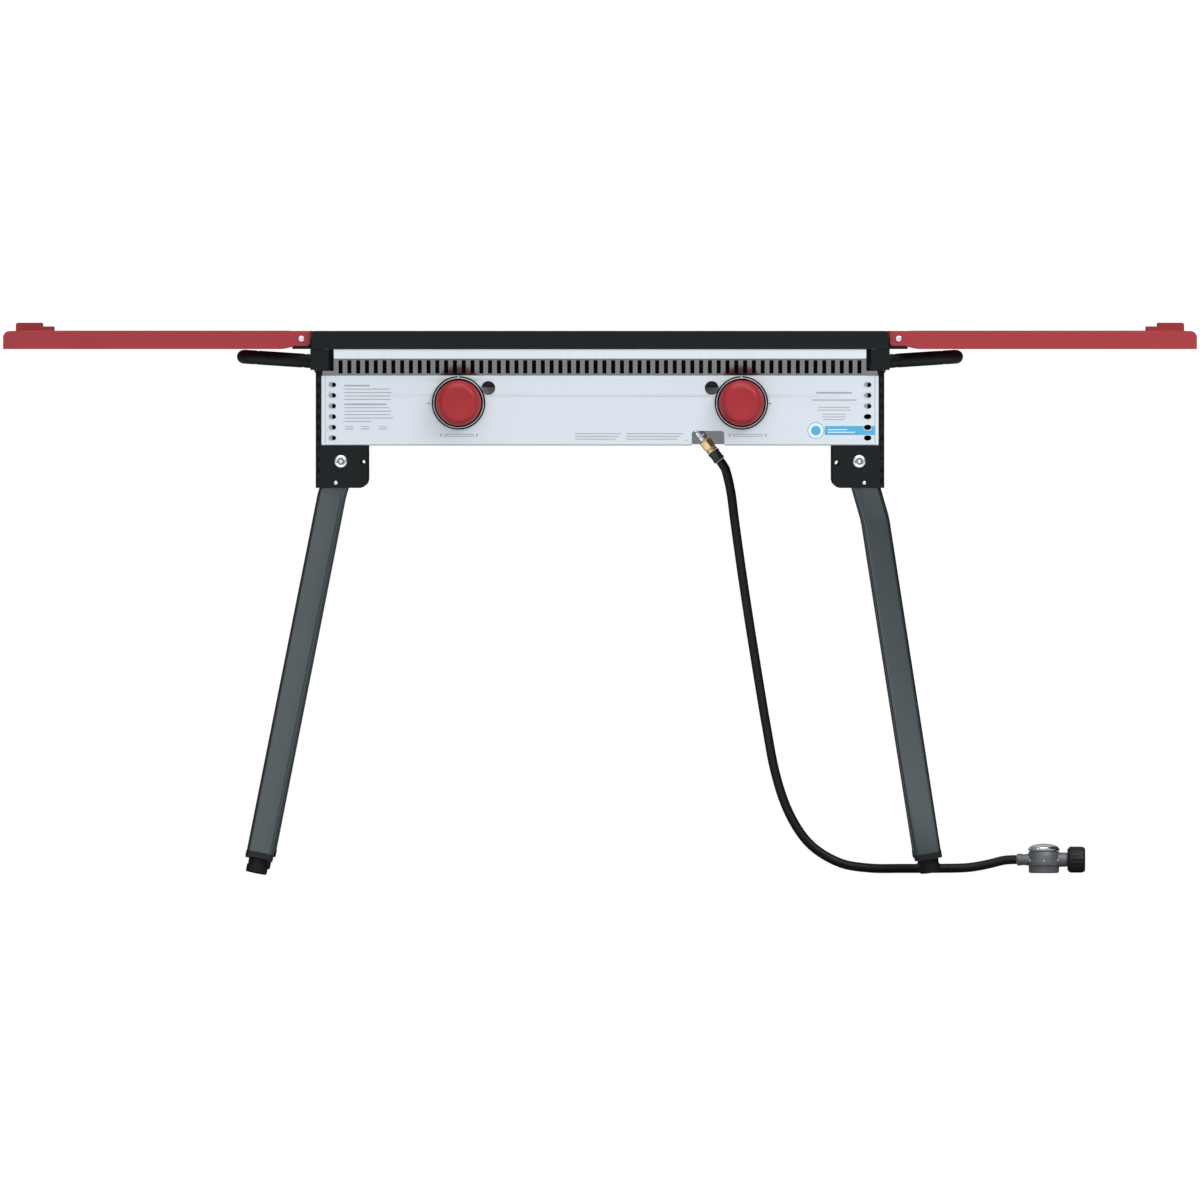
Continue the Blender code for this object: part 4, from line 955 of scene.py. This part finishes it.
def make_printing():
    """Plain ruled lines where the panel carries small print, marks by the knobs, and grey lines of painted
    shade standing for pressed creases down the sides.
    """
    bm = bmesh.new()
    left, width = -0.3605, 0.069
    for top, lengths in ((0.69, (0.52, 0.94, 0.97, 0.93, 0.95)),
                         (0.6637, (0.86, 0.91, 0.96, 0.94, 1.0, 0.55))):
        for i, share in enumerate(lengths):
            text_bar(bm, left, left + width * share, top - 0.00485 * i, 0.0012 if i else 0.0022)
    for x0, x1 in ((-0.36, -0.347), (-0.338, -0.325), (-0.312, -0.3)):
        text_bar(bm, x0, x1, 0.6322, 0.0009)
        text_bar(bm, x0 + 0.001, x1 - 0.001, 0.629, 0.0014)
    for z, half, height in ((0.68, 0.025, 0.0024), (0.6697, 0.0315, 0.0016), (0.6594, 0.0225, 0.0011),
                            (0.6556, 0.0235, 0.0011), (0.6495, 0.0165, 0.0011), (0.6459, 0.017, 0.0011),
                            (0.6423, 0.015, 0.0011)):
        text_bar(bm, 0.33 - half, 0.33 + half, z, height)
    for x0, x1 in ((-0.035, 0.03), (0.037, 0.117)):
        for i in range(3):
            text_bar(bm, x0, x1 - 0.004 * i, 0.6222 - 0.0038 * i, 0.0012)
    lay_print(bm, [(0.1205, 0.6116), (0.1243, 0.6128), (0.1205, 0.614)])
    for centre, mark in ((-0.1991, -0.2417), (0.2084, 0.2397)):
        for z in (0.6213, 0.6187):
            text_bar(bm, centre - 0.0215, centre + 0.0215, z, 0.0009)
        for sign in SIDES.values():
            x = centre + sign * 0.0255
            lay_print(bm, [(x, 0.6232), (x - 0.0013, 0.62), (x - 0.001, 0.6184), (x + 0.001, 0.6184),
                           (x + 0.0013, 0.62)])
        lay_print(bm, circle(mark, 0.6648, 0.0013, 20))
        text_bar(bm, mark - 0.0028, mark + 0.0028, 0.6648, 0.0006)
    # grey ink lines down the sides are painted shade standing for pressed creases
    for side in SIDES.values():
        x = side * 0.3876
        lay_print(bm, rect(x - 0.0003, x + 0.0003, 0.608, 0.702), proud=0.00003)
    make_piece("panel_print", bm, "ink")


def make_sticker():
    """A plain blue circle and band, with a white ring and two ruled lines."""
    outer, middle, inner = [circle(0.3044, 0.6266, radius, 56) for radius in (0.0118, 0.0108, 0.0068)]
    bm = bmesh.new()
    lay_print(bm, outer, [middle], 0.00015)
    lay_print(bm, inner, proud=0.00015)
    lay_print(bm, [(0.3168, 0.6204), (0.3718, 0.6204), (0.3882, 0.6204), (0.3882, 0.6331), (0.383, 0.6331),
                   (0.383, 0.6272), (0.372, 0.6272), (0.372, 0.6331), (0.3168, 0.6331)], proud=0.0001)
    make_piece("blue_sticker", bm, "blue_film")
    bm = bmesh.new()
    lay_print(bm, middle, [inner], 0.00013)
    for top, share in ((0.6285, 0.6), (0.6249, 0.85)):
        lay_print(bm, rect(0.3215, 0.3215 + 0.045 * share, top, top - 0.0012), proud=0.00013)
    make_piece("sticker_lines", bm, "white_ink")


def make_knob(label):
    """A moulded knob: domed face, conical shoulder and a finely ribbed skirt."""
    low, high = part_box(label + "_knob")
    centre = (low + high) / 2
    depth, outer = high.y - low.y, (high.x - low.x) / 2
    profile = [(0.0012, 0), (0.001, 0.01), (0.0005, 0.017), (0.0001, 0.0205), (0.0001, 0.0218),
               (0.0005, 0.0232),
               (0.0013, 0.0246), (0.0025, 0.026), (0.0041, 0.0274), (0.006, 0.0287), (0.0081, 0.0299),
               (0.0103, outer - 0.0009), (0.0122, outer - 0.0002), (0.0135, outer), (depth - 0.002, outer),
               (depth - 0.0006, outer - 0.0006), (depth, outer - 0.0018), (depth, 0.0045), (0.008, 0.0044),
               (0.008, 0)]

    def ribs(angle, along):
        return 1 - (0.01 * (0.5 + 0.5 * cos(60 * angle)) if 0.013 < along < depth - 0.001 else 0)

    knob = turned(label + "_knob_moulding", (centre.x, low.y, centre.z), (0, 1, 0), profile, 240, ribs, 28)
    dress(knob, "knob_red", label + "_knob", label + "_knob")


def make_bezel(label):
    """A dark ring with a satin metal ring set in it, and the white tick at its top."""
    low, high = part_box(label + "_knob_bezel")
    centre = (low + high) / 2
    outer, base = (high.x - low.x) / 2, high.y
    front = high.y - low.y
    place = (centre.x, base, centre.z)
    ring = [(0, 0.008), (0, outer), (front - 0.002, outer), (front - 0.0008, outer - 0.0004),
            (front - 0.0004, outer - 0.001), (front - 0.0006, outer - 0.0017),
            (front - 0.0014, outer - 0.002),
            (front - 0.0014, 0.034), (0.0022, 0.0336), (0.0022, 0.008)]
    dress(turned(label + "_bezel_dish", place, (0, -1, 0), ring, 128, None, 25), "bezel_dark", "root",
          label + "_knob_bezel")
    trim = [(front - 0.0016, 0.0342), (front - 0.0005, 0.0343), (front - 0.0001, 0.0347),
            (front - 0.0001, 0.0352),
            (front - 0.0005, 0.0356), (front - 0.0016, 0.0357)]
    dress(turned(label + "_bezel_trim", place, (0, -1, 0), trim, 128), "bezel_metal")
    x, top = centre.x, centre.z + 0.0346
    tick = prism(label + "_bezel_tick", "Y", low.y - 0.0004, low.y + 0.0012,
                 rect(x - 0.0007, x + 0.0007, top, top + 0.0036))
    dress(tick, "white_ink")


def make_pivot_bolt(name, end):
    """A leg's pivot bolt: bright flange, a dark ring of painted shade in its recess round a light pip, and a
    hexagon nut behind.
    """
    low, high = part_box(name)
    head_y = high.y if end > 0 else low.y
    place = Vector(((low.x + high.x) / 2, head_y, (low.z + high.z) / 2))
    inward = Vector((0, -end, 0))
    profile = [(0.0024, 0), (0.0024, 0.0046), (0.0006, 0.0052), (0.0, 0.0062), (0.0002, 0.0074),
               (0.001, 0.0086), (0.0022, 0.00925), (0.004, 0.00925), (0.0042, 0.0088), (0.0042, 0.005),
               (0.051, 0.005), (0.051, 0.0085), (0.0562, 0.0085), (0.057, 0.0078), (0.057, 0)]

    def nut(angle, along):
        return hexagon(angle, along) if along > 0.0505 else 1

    dress(turned(name + "_turned", place, inward, profile, 96, nut, 28), "bright_steel", "root", name)
    # the ring's darker steel is painted shade in the bolt's recess
    ring = [(0.0014, 0.0026), (0.0012, 0.003), (0.0014, 0.0044), (0.0028, 0.0044), (0.0028, 0.0026)]
    dress(turned(name + "_ring", place, inward, ring, 48), "recess_painted_shade_steel")
    pip = [(0.0008, 0), (0.0009, 0.0012), (0.0013, 0.0021), (0.0028, 0.0021), (0.0028, 0)]
    dress(turned(name + "_pip", place, inward, pip, 32), "bright_steel")


def make_hinge_rod(label):
    """A shelf's hinge rod with a socket in each rounded head."""
    low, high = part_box(label + "_hinge_rod")
    length = high.y - low.y
    end = [(0.0012, 0), (0.0012, 0.0019), (0.0001, 0.0022), (0.0001, 0.003), (0.0005, 0.004),
           (0.0011, 0.0044),
           (0.0018, 0.0045), (0.002, 0.0043), (0.002, 0.0025)]
    profile = end + [(length - along, radius) for along, radius in reversed(end)]
    place = ((low.x + high.x) / 2, low.y, (low.z + high.z) / 2)
    rod = turned(label + "_hinge_rod_turned", place, (0, 1, 0), profile, 48, None, 28)
    dress(rod, "bright_steel", BODY_OF[label + "_hinge_rod"], label + "_hinge_rod")


def make_handle(label, side):
    """A carrying handle: rubber sleeve on a bent tube, with a bolted plate at each foot."""
    low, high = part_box(label + "_handle")
    radius = 0.0098
    tip_x = max(abs(low.x), abs(high.x)) - radius
    root_x, root_z, tip_z, half, bend = 0.4005, 0.7237, 0.7306, 0.09, 0.03
    arm = [(root_x, -half), (root_x + 0.01, -half), (root_x + 0.03, -half)]
    for i in range(13):
        a = radians(-90 + 7.5 * i)
        arm.append((tip_x - bend + bend * cos(a), -half + bend * (1 + sin(a))))
    middle = [(tip_x, -half + bend + (half - bend) * t / 6 * 2) for t in range(1, 6)]
    flat = arm + middle + [(x, -y) for x, y in reversed(arm)]
    path = [(side * x, y, root_z + (tip_z - root_z) * (x - root_x) / (tip_x - root_x)) for x, y in flat]
    fine = smooth_curve(path, 0.003)

    def sleeve(t):
        """Full thickness, with a shallow groove near each foot and one each side of the grip."""
        end = min(t, 1 - t)
        grooves = sum(max(0.0, 1 - abs(end - place) / 0.006) for place in (0.05, 0.24))
        return radius * (1 - 0.07 * min(1.0, grooves))

    dress(tube(label + "_handle_sleeve", fine, sleeve, 32), "black_grip", "root", label + "_handle")
    for end_label, end in ENDS.items():
        y = end * half
        plate = rounded_box(label + "_" + end_label + "_handle_plate", (side * 0.3998, side * 0.403),
                            (y - 0.017, y + 0.017), (0.708, 0.74), 0.0008)
        dress(plate, "black_enamel")
    bm = bmesh.new()
    for end in ENDS.values():
        for dy in (-0.0125, 0.0125):
            for z in (0.7115, 0.7365):
                rivet(bm, (side * 0.403, end * half + dy, z), (side, 0, 0), 0.0026, 0.0011)
    make_piece(label + "_handle_rivets", bm, "bright_steel")


def make_shelf_skin(label, side):
    """The folded tray with rounded edges, a pressed border, flange hems and stiffeners underneath."""
    body = label + "_shelf"
    refine(body, "red_enamel", 0.0007, 3)
    low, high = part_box(body)
    hinge, tip = sorted((abs(low.x), abs(high.x)))
    half, top = high.y, RAIL_TOP_Z
    bottom = low.z
    x0, x1 = hinge + 0.03, tip - 0.024
    outline = rounded_rect(x0, x1, -half + 0.022, half - 0.022, 0.018, 8)
    inner = rounded_rect(x0 + 0.005, x1 - 0.005, -half + 0.027, half - 0.027, 0.013, 8)
    bm = bmesh.new()
    rings = []
    for share, rise in ((0, -0.0003), (0.22, 0.0002), (0.5, 0.0004), (0.78, 0.0002), (1, -0.0003)):
        rings.append([bm.verts.new((side * (u + (p - u) * share), v + (q - v) * share, top + rise))
                      for (u, v), (p, q) in zip(outline, inner)])
    skin(bm, rings + rings[:1])
    make_piece(label + "_shelf_border", bm, "red_enamel", body)

    bm = bmesh.new()
    for end in ENDS.values():
        inner_y = end * (half - 0.0015)
        hem = [(inner_y, bottom + 0.0001), (inner_y, bottom + 0.006),
               (inner_y - end * 0.0009, bottom + 0.0056),
               (inner_y - end * 0.0014, bottom + 0.0044), (inner_y - end * 0.0015, bottom + 0.0018),
               (inner_y - end * 0.001, bottom + 0.0004)]
        add_prism(bm, "X", *sorted((side * 0.48, side * (tip - 0.004))), hem)
    for x in (0.56, 0.7):
        hat = [(-0.02, top - 0.0012), (-0.02, top - 0.0026), (-0.012, top - 0.0026), (-0.009, top - 0.009),
               (0.009, top - 0.009), (0.012, top - 0.0026), (0.02, top - 0.0026), (0.02, top - 0.0012)]
        add_prism(bm, "Y", -half + 0.002, half - 0.002, [(side * (x + u), v) for u, v in hat])
    ribs = bevel(make_object(label + "_shelf_stiffeners", bm), 0.0006, 2)
    dress(ribs, "red_enamel", body)


def make_grate(label):
    """A cast grate: rounded bars front to back, four cross bars, and a small boss at each corner."""
    low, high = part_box(label + "_grate")
    bar, bars = 0.006, 11
    bm = bmesh.new()
    pitch = (high.x - low.x - bar) / (bars - 1)
    middle_z = (low.z + high.z) / 2
    reach = bar / 2

    def rounded_bar(axis, across, start, stop, drop=0.0):
        section = rounded_rect(across - reach, across + reach, low.z + drop, high.z - drop, 0.0022, 4)
        add_prism(bm, axis, start, stop, section)

    for i in range(bars):
        rounded_bar("Y", low.x + reach + i * pitch, low.y, high.y)
    for y in (low.y + reach, -0.062 + reach, 0.062 - reach, high.y - reach):
        rounded_bar("X", y, low.x, high.x, 0.0004)
    grate = make_object(label + "_grate_casting", bm, 30)
    dress(grate, "cast_iron", "root", label + "_grate")
    bm = bmesh.new()
    for x in (low.x + reach, high.x - reach):
        for y in (low.y + 0.012, high.y - 0.012):
            add_turned(bm, (x, y, middle_z + 0.0014), (0, 0, 1),
                       [(0, 0), (0, 0.0052), (0.001, 0.005), (0.0016, 0.004), (0.0017, 0)], 24)
    make_piece(label + "_grate_bosses", bm, "cast_iron")


def make_burner(label, side):
    """A cast burner bowl and venturi, a ported iron cap, an air shutter and a spark electrode."""
    low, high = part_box(label + "_burner")
    x, y = side * KNOB_X, BURNER_Y
    base, rim = low.z, (high.x - low.x) / 2
    body = [(0, 0), (0, 0.028), (0.0015, 0.03), (0.01, 0.0405), (0.02, 0.056), (0.0235, 0.06), (0.026, 0.062),
            (0.0355, 0.062), (0.037, 0.0612), (0.037, 0)]
    bm = bmesh.new()
    add_turned(bm, (x, y, base), (0, 0, 1), body, 96)
    mouth_y = -0.122
    venturi = [(0, 0.012), (0, 0.0146), (0.0006, 0.015), (0.0055, 0.015), (0.0075, 0.0143), (0.0135, 0.0121),
               (0.05, 0.012), (0.07, 0.0137), (0.142, 0.0138), (0.142, 0.011), (0.05, 0.009),
               (0.014, 0.009)]
    add_turned(bm, (x, mouth_y, KNOB_Z), (0, 1, 0), venturi, 48)
    dress(make_object(label + "_burner_bowl", bm, 30), "burner_casting", "root", label + "_burner")

    height = high.z - base - 0.0372
    cap = [(0, 0), (0, rim - 0.006), (0.0018, rim - 0.001), (0.003, rim), (height - 0.004, rim),
           (height - 0.0012, rim - 0.0014), (height, rim - 0.0046), (height - 0.0006, 0.03), (height, 0.022),
           (height - 0.003, 0.0165), (height - 0.0038, 0.014), (height - 0.0038, 0)]

    def ports(angle, along):
        return 1 - (0.05 if 0.0025 < along < height - 0.003 and cos(40 * angle) > 0.25 else 0)

    dress(turned(label + "_burner_ports", (x, y, base + 0.0372), (0, 0, 1), cap, 320, ports, 25),
          "burner_cap")
    bm = bmesh.new()
    stem = (x + side * 0.052, y - 0.046, base + 0.02)
    add_turned(bm, stem, (0, 0, 1), [(0, 0), (0, 0.0028), (0.0008, 0.0032), (0.023, 0.0032), (0.024, 0.0026),
                                     (0.024, 0)], 24)
    make_piece(label + "_electrode_ceramic", bm, "ceramic")
    top = Vector(stem) + Vector((0, 0, 0.0235))
    wire = [top, top + Vector((0, 0, 0.004)), top + Vector((-side * 0.002, 0.001, 0.007)),
            top + Vector((-side * 0.006, 0.003, 0.0078))]
    tip = tube(label + "_electrode_tip", smooth_curve(wire, 0.001), 0.0009, 12)
    dress(tip, "bright_steel")


def make_valve(label, side):
    """A turned brass valve: hexagon body, gland, and the orifice towards the venturi."""
    low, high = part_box(label + "_valve")
    length = high.y - low.y
    profile = [(0, 0.0045), (0, 0.0078), (0.001, 0.0088), (0.002, 0.009), (0.015, 0.009), (0.016, 0.0084),
               (0.0165, 0.0078), (0.024, 0.0078), (0.025, 0.0088), (0.038, 0.0088), (0.04, 0.008),
               (0.046, 0.0045), (length - 0.001, 0.004), (length, 0.0032), (length, 0), (0.03, 0),
               (0.03, 0.0045)]

    def flats(angle, along):
        return hexagon(angle, along) if 0.0005 < along < 0.0155 else 1

    valve = turned(label + "_valve_turned", (side * KNOB_X, low.y, KNOB_Z), (0, 1, 0), profile, 96, flats, 28)
    dress(valve, "valve_brass", "root", label + "_valve")


def make_manifold():
    """The gas pipe across the stove, its clamps, and the inlet pipe that leads to the plated fitting."""
    y, z, half, radius = -0.15, 0.65, 0.225, 0.00635
    bm = bmesh.new()
    add_turned(bm, (-half, y, z), (1, 0, 0), [(0, 0), (0, radius - 0.0012), (0.001, radius),
                                              (2 * half - 0.001, radius),
                                              (2 * half, radius - 0.0012), (2 * half, 0)], 40)
    end = NUT_CENTRE - INLET_DIRECTION * 0.026
    route = [(0.118, y, z - 0.002), (0.118, -0.143, 0.639), (0.118, -0.115, 0.634), (0.118, -0.09, 0.635),
             (0.121, -0.0745, 0.64), tuple(end - INLET_DIRECTION * 0.014), tuple(end)]
    add_tube(bm, smooth_curve(route, 0.003), 0.005, 28)
    fitting = [(0, 0), (0, 0.0056), (0.0006, 0.006), (0.004, 0.006), (0.0055, 0.0072), (0.012, 0.0072),
               (0.0126, 0.0068), (0.0132, 0.0072), (0.019, 0.0072), (0.0197, 0.0066), (0.0197, 0)]
    add_turned(bm, NUT_CENTRE - INLET_DIRECTION * 0.03, INLET_DIRECTION, fitting, 48)
    dress(make_object("manifold_pipe", bm, 30), "bright_steel", "root", "gas_manifold")
    bm = bmesh.new()
    for x in (-KNOB_X, KNOB_X):
        add_turned(bm, (x - 0.009, y, z), (1, 0, 0), [(0, 0), (0, radius + 0.0022), (0.001, radius + 0.003),
                                                      (0.017, radius + 0.003), (0.018, radius + 0.0022),
                                                      (0.018, 0)], 40)
    make_piece("manifold_bosses", bm, "valve_brass")


# ---- legs ----
LEG_PIVOT_X, LEG_PIVOT_Z = 0.3656, 0.5832
LEG_WIDTH, LEG_WALL, LEG_CORNER = 0.038, 0.0016, 0.006
LEG_FACE_Y = 0.177
LEG_UPPER_TILT = radians(16)
LEG_BEND_Z = {-1: 0.533, 1: 0.5005}
LEG_LOWER_TILT = {-1: radians(11.2), 1: radians(8.85)}
LEG_SPLAY = {-1: radians(4.5), 1: radians(-4.5)}
DETENT_REACH, DETENT_TILT = 0.031, radians(13.3)
FOOT_RADIUS, FOOT_LENGTH = 0.015, 0.02


def leg_lines(side, end):
    """The leg's pivot, its upper and lower directions, its bend and where its foot meets the ground."""
    pivot = Vector((side * LEG_PIVOT_X, end * (LEG_FACE_Y - LEG_WIDTH / 2), LEG_PIVOT_Z))
    upper = Vector((side * sin(LEG_UPPER_TILT), 0, -cos(LEG_UPPER_TILT)))
    lower = Vector((side * tan(LEG_LOWER_TILT[side]), end * tan(LEG_SPLAY[side]), -1)).normalized()
    bend = pivot + upper * ((LEG_PIVOT_Z - LEG_BEND_Z[side]) / cos(LEG_UPPER_TILT))
    lean = sqrt(1 - lower.z ** 2)
    ground = bend + lower * ((bend.z - FOOT_RADIUS * lean) / -lower.z)
    return pivot, upper, lower, bend, ground


def make_leg(place, side, end):
    """A bent square tube with rounded corners, flattened at its bend, and a cap round its lower end."""
    pivot, upper, lower, bend, ground = leg_lines(side, end)
    across = Vector((0, 1, 0)).cross(upper).normalized()
    depth = Vector((0, 1, 0))
    mitre = (upper + lower).normalized()
    top = pivot - upper * 0.018
    bottom = ground - lower * FOOT_LENGTH
    crush = 0.0042

    def section(inset):
        half = LEG_WIDTH / 2 - inset
        return rounded_rect(-half, half, -half, half, LEG_CORNER - inset, 7)

    def stop_at(u, v, stop):
        """The point of a line along the leg at a named stop, or at a height above the tube's lower end."""
        first = top + across * u + depth * v
        middle = first + upper * ((bend - first).dot(mitre) / upper.dot(mitre))
        last = middle + lower * ((bottom - middle).dot(lower))
        named = {"top": first, "above": middle - upper * crush, "below": middle + lower * crush,
                 "bottom": last}
        return named[stop] if stop in named else last - lower * stop

    def rings(outline, *stops):
        return [[bm.verts.new(stop_at(u, v, stop)) for u, v in outline] for stop in stops]

    bm = bmesh.new()
    outer = rings(section(0), "top", "above", "below", "bottom")
    skin(bm, outer + rings(section(LEG_WALL), "bottom", "below", "above", "top") + outer[:1])
    leg = make_object(place + "_leg_tube", bm, 30)
    cut_round(leg, pivot, (0, 1, 0), 0.0053, LEG_WIDTH + 0.01)
    hole = (side * (LEG_PIVOT_X + DETENT_REACH * sin(DETENT_TILT)), end * LEG_FACE_Y,
            LEG_PIVOT_Z - DETENT_REACH * cos(DETENT_TILT))
    cut_round(leg, hole, (0, 1, 0), 0.0033, 0.01, 24)
    leg.data.set_sharp_from_angle(angle=radians(24))
    dress(leg, "leg_enamel", place + "_leg", place + "_leg")

    bm = bmesh.new()
    cap_height, cap_base = 0.0085, -0.0001
    shell = rings(section(-0.0006), cap_height, 0.0003) + rings(section(0.0004), cap_base)
    bore = [Vector(point).normalized() * 0.0066 for point in section(0)]
    skin(bm, shell + rings(bore, cap_base, cap_height) + shell[:1])
    cap = make_object(place + "_leg_cap", bm, 30)
    dress(cap, "nut_plastic", place + "_leg")


def make_button(place, end):
    """The spring button that locks the leg."""
    low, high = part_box(place + "_button")
    front = end * 0.1808
    back = abs(front) - min(abs(low.y), abs(high.y))
    profile = [(0, 0), (0, 0.0016), (0.0002, 0.0023), (0.0007, 0.0028), (0.0012, 0.003),
               (back - 0.003, 0.003),
               (back - 0.003, 0.0045), (back, 0.0045), (back, 0)]
    centre = (low + high) / 2
    button = turned(place + "_button_pin", (centre.x, front, centre.z), (0, -end, 0), profile, 32)
    dress(button, "bright_steel", place + "_button", place + "_button")


def make_foot(place, side, end):
    """A round levelling foot: ribbed pad with a worn edge, collar, and threaded stem."""
    lower, ground = leg_lines(side, end)[2::2]
    pad = FOOT_LENGTH - 0.0003
    profile = [(0.0008, 0), (0.0008, 0.011), (0, 0.0122), (0, 0.014), (0.0006, 0.0147), (0.0016, 0.015),
               (0.01, 0.015), (0.0108, 0.0146), (0.0116, 0.0138), (0.0128, 0.0136), (0.0136, 0.014),
               (pad - 0.0006, 0.014), (pad, 0.0134), (pad, 0.006)]
    profile += [(pad + 0.001 + 0.001 * i, 0.006 if i % 2 else 0.0054) for i in range(43)]
    profile += [(pad + 0.044, 0)]

    def grip(angle, along):
        return 1 - (0.045 * (0.5 + 0.5 * cos(28 * angle)) if 0.0012 < along < 0.0104 else 0)

    foot = turned(place + "_foot_pad", ground, -lower, profile, 168, grip, 30)
    dress(foot, "foot_rubber", place + "_foot", place + "_foot")


make_sheet_parts()
make_vent_slot_shade()
make_panel_trim()
make_side_trim()
make_corner_shade_strips()
make_printing()
make_sticker()
make_manifold()
for side_label, side_sign in SIDES.items():
    make_knob(side_label)
    make_bezel(side_label)
    make_hinge_rod(side_label)
    make_handle(side_label, side_sign)
    make_shelf_skin(side_label, side_sign)
    make_grate(side_label)
    make_burner(side_label, side_sign)
    make_valve(side_label, side_sign)
    for end_label, end_sign in ENDS.items():
        corner_place = end_label + "_" + side_label
        make_pivot_bolt(corner_place + "_pivot_bolt", end_sign)
        make_leg(corner_place, side_sign, end_sign)
        make_button(corner_place, end_sign)
        make_foot(corner_place, side_sign, end_sign)

# CAD nodes that stay as they are, such as the valve stems, get their finish too
for node, obj in NODES.items():
    if not obj.hide_render:
        obj.data.materials.clear()
        obj.data.materials.append(LOOKS[SLOT_OF[node]])
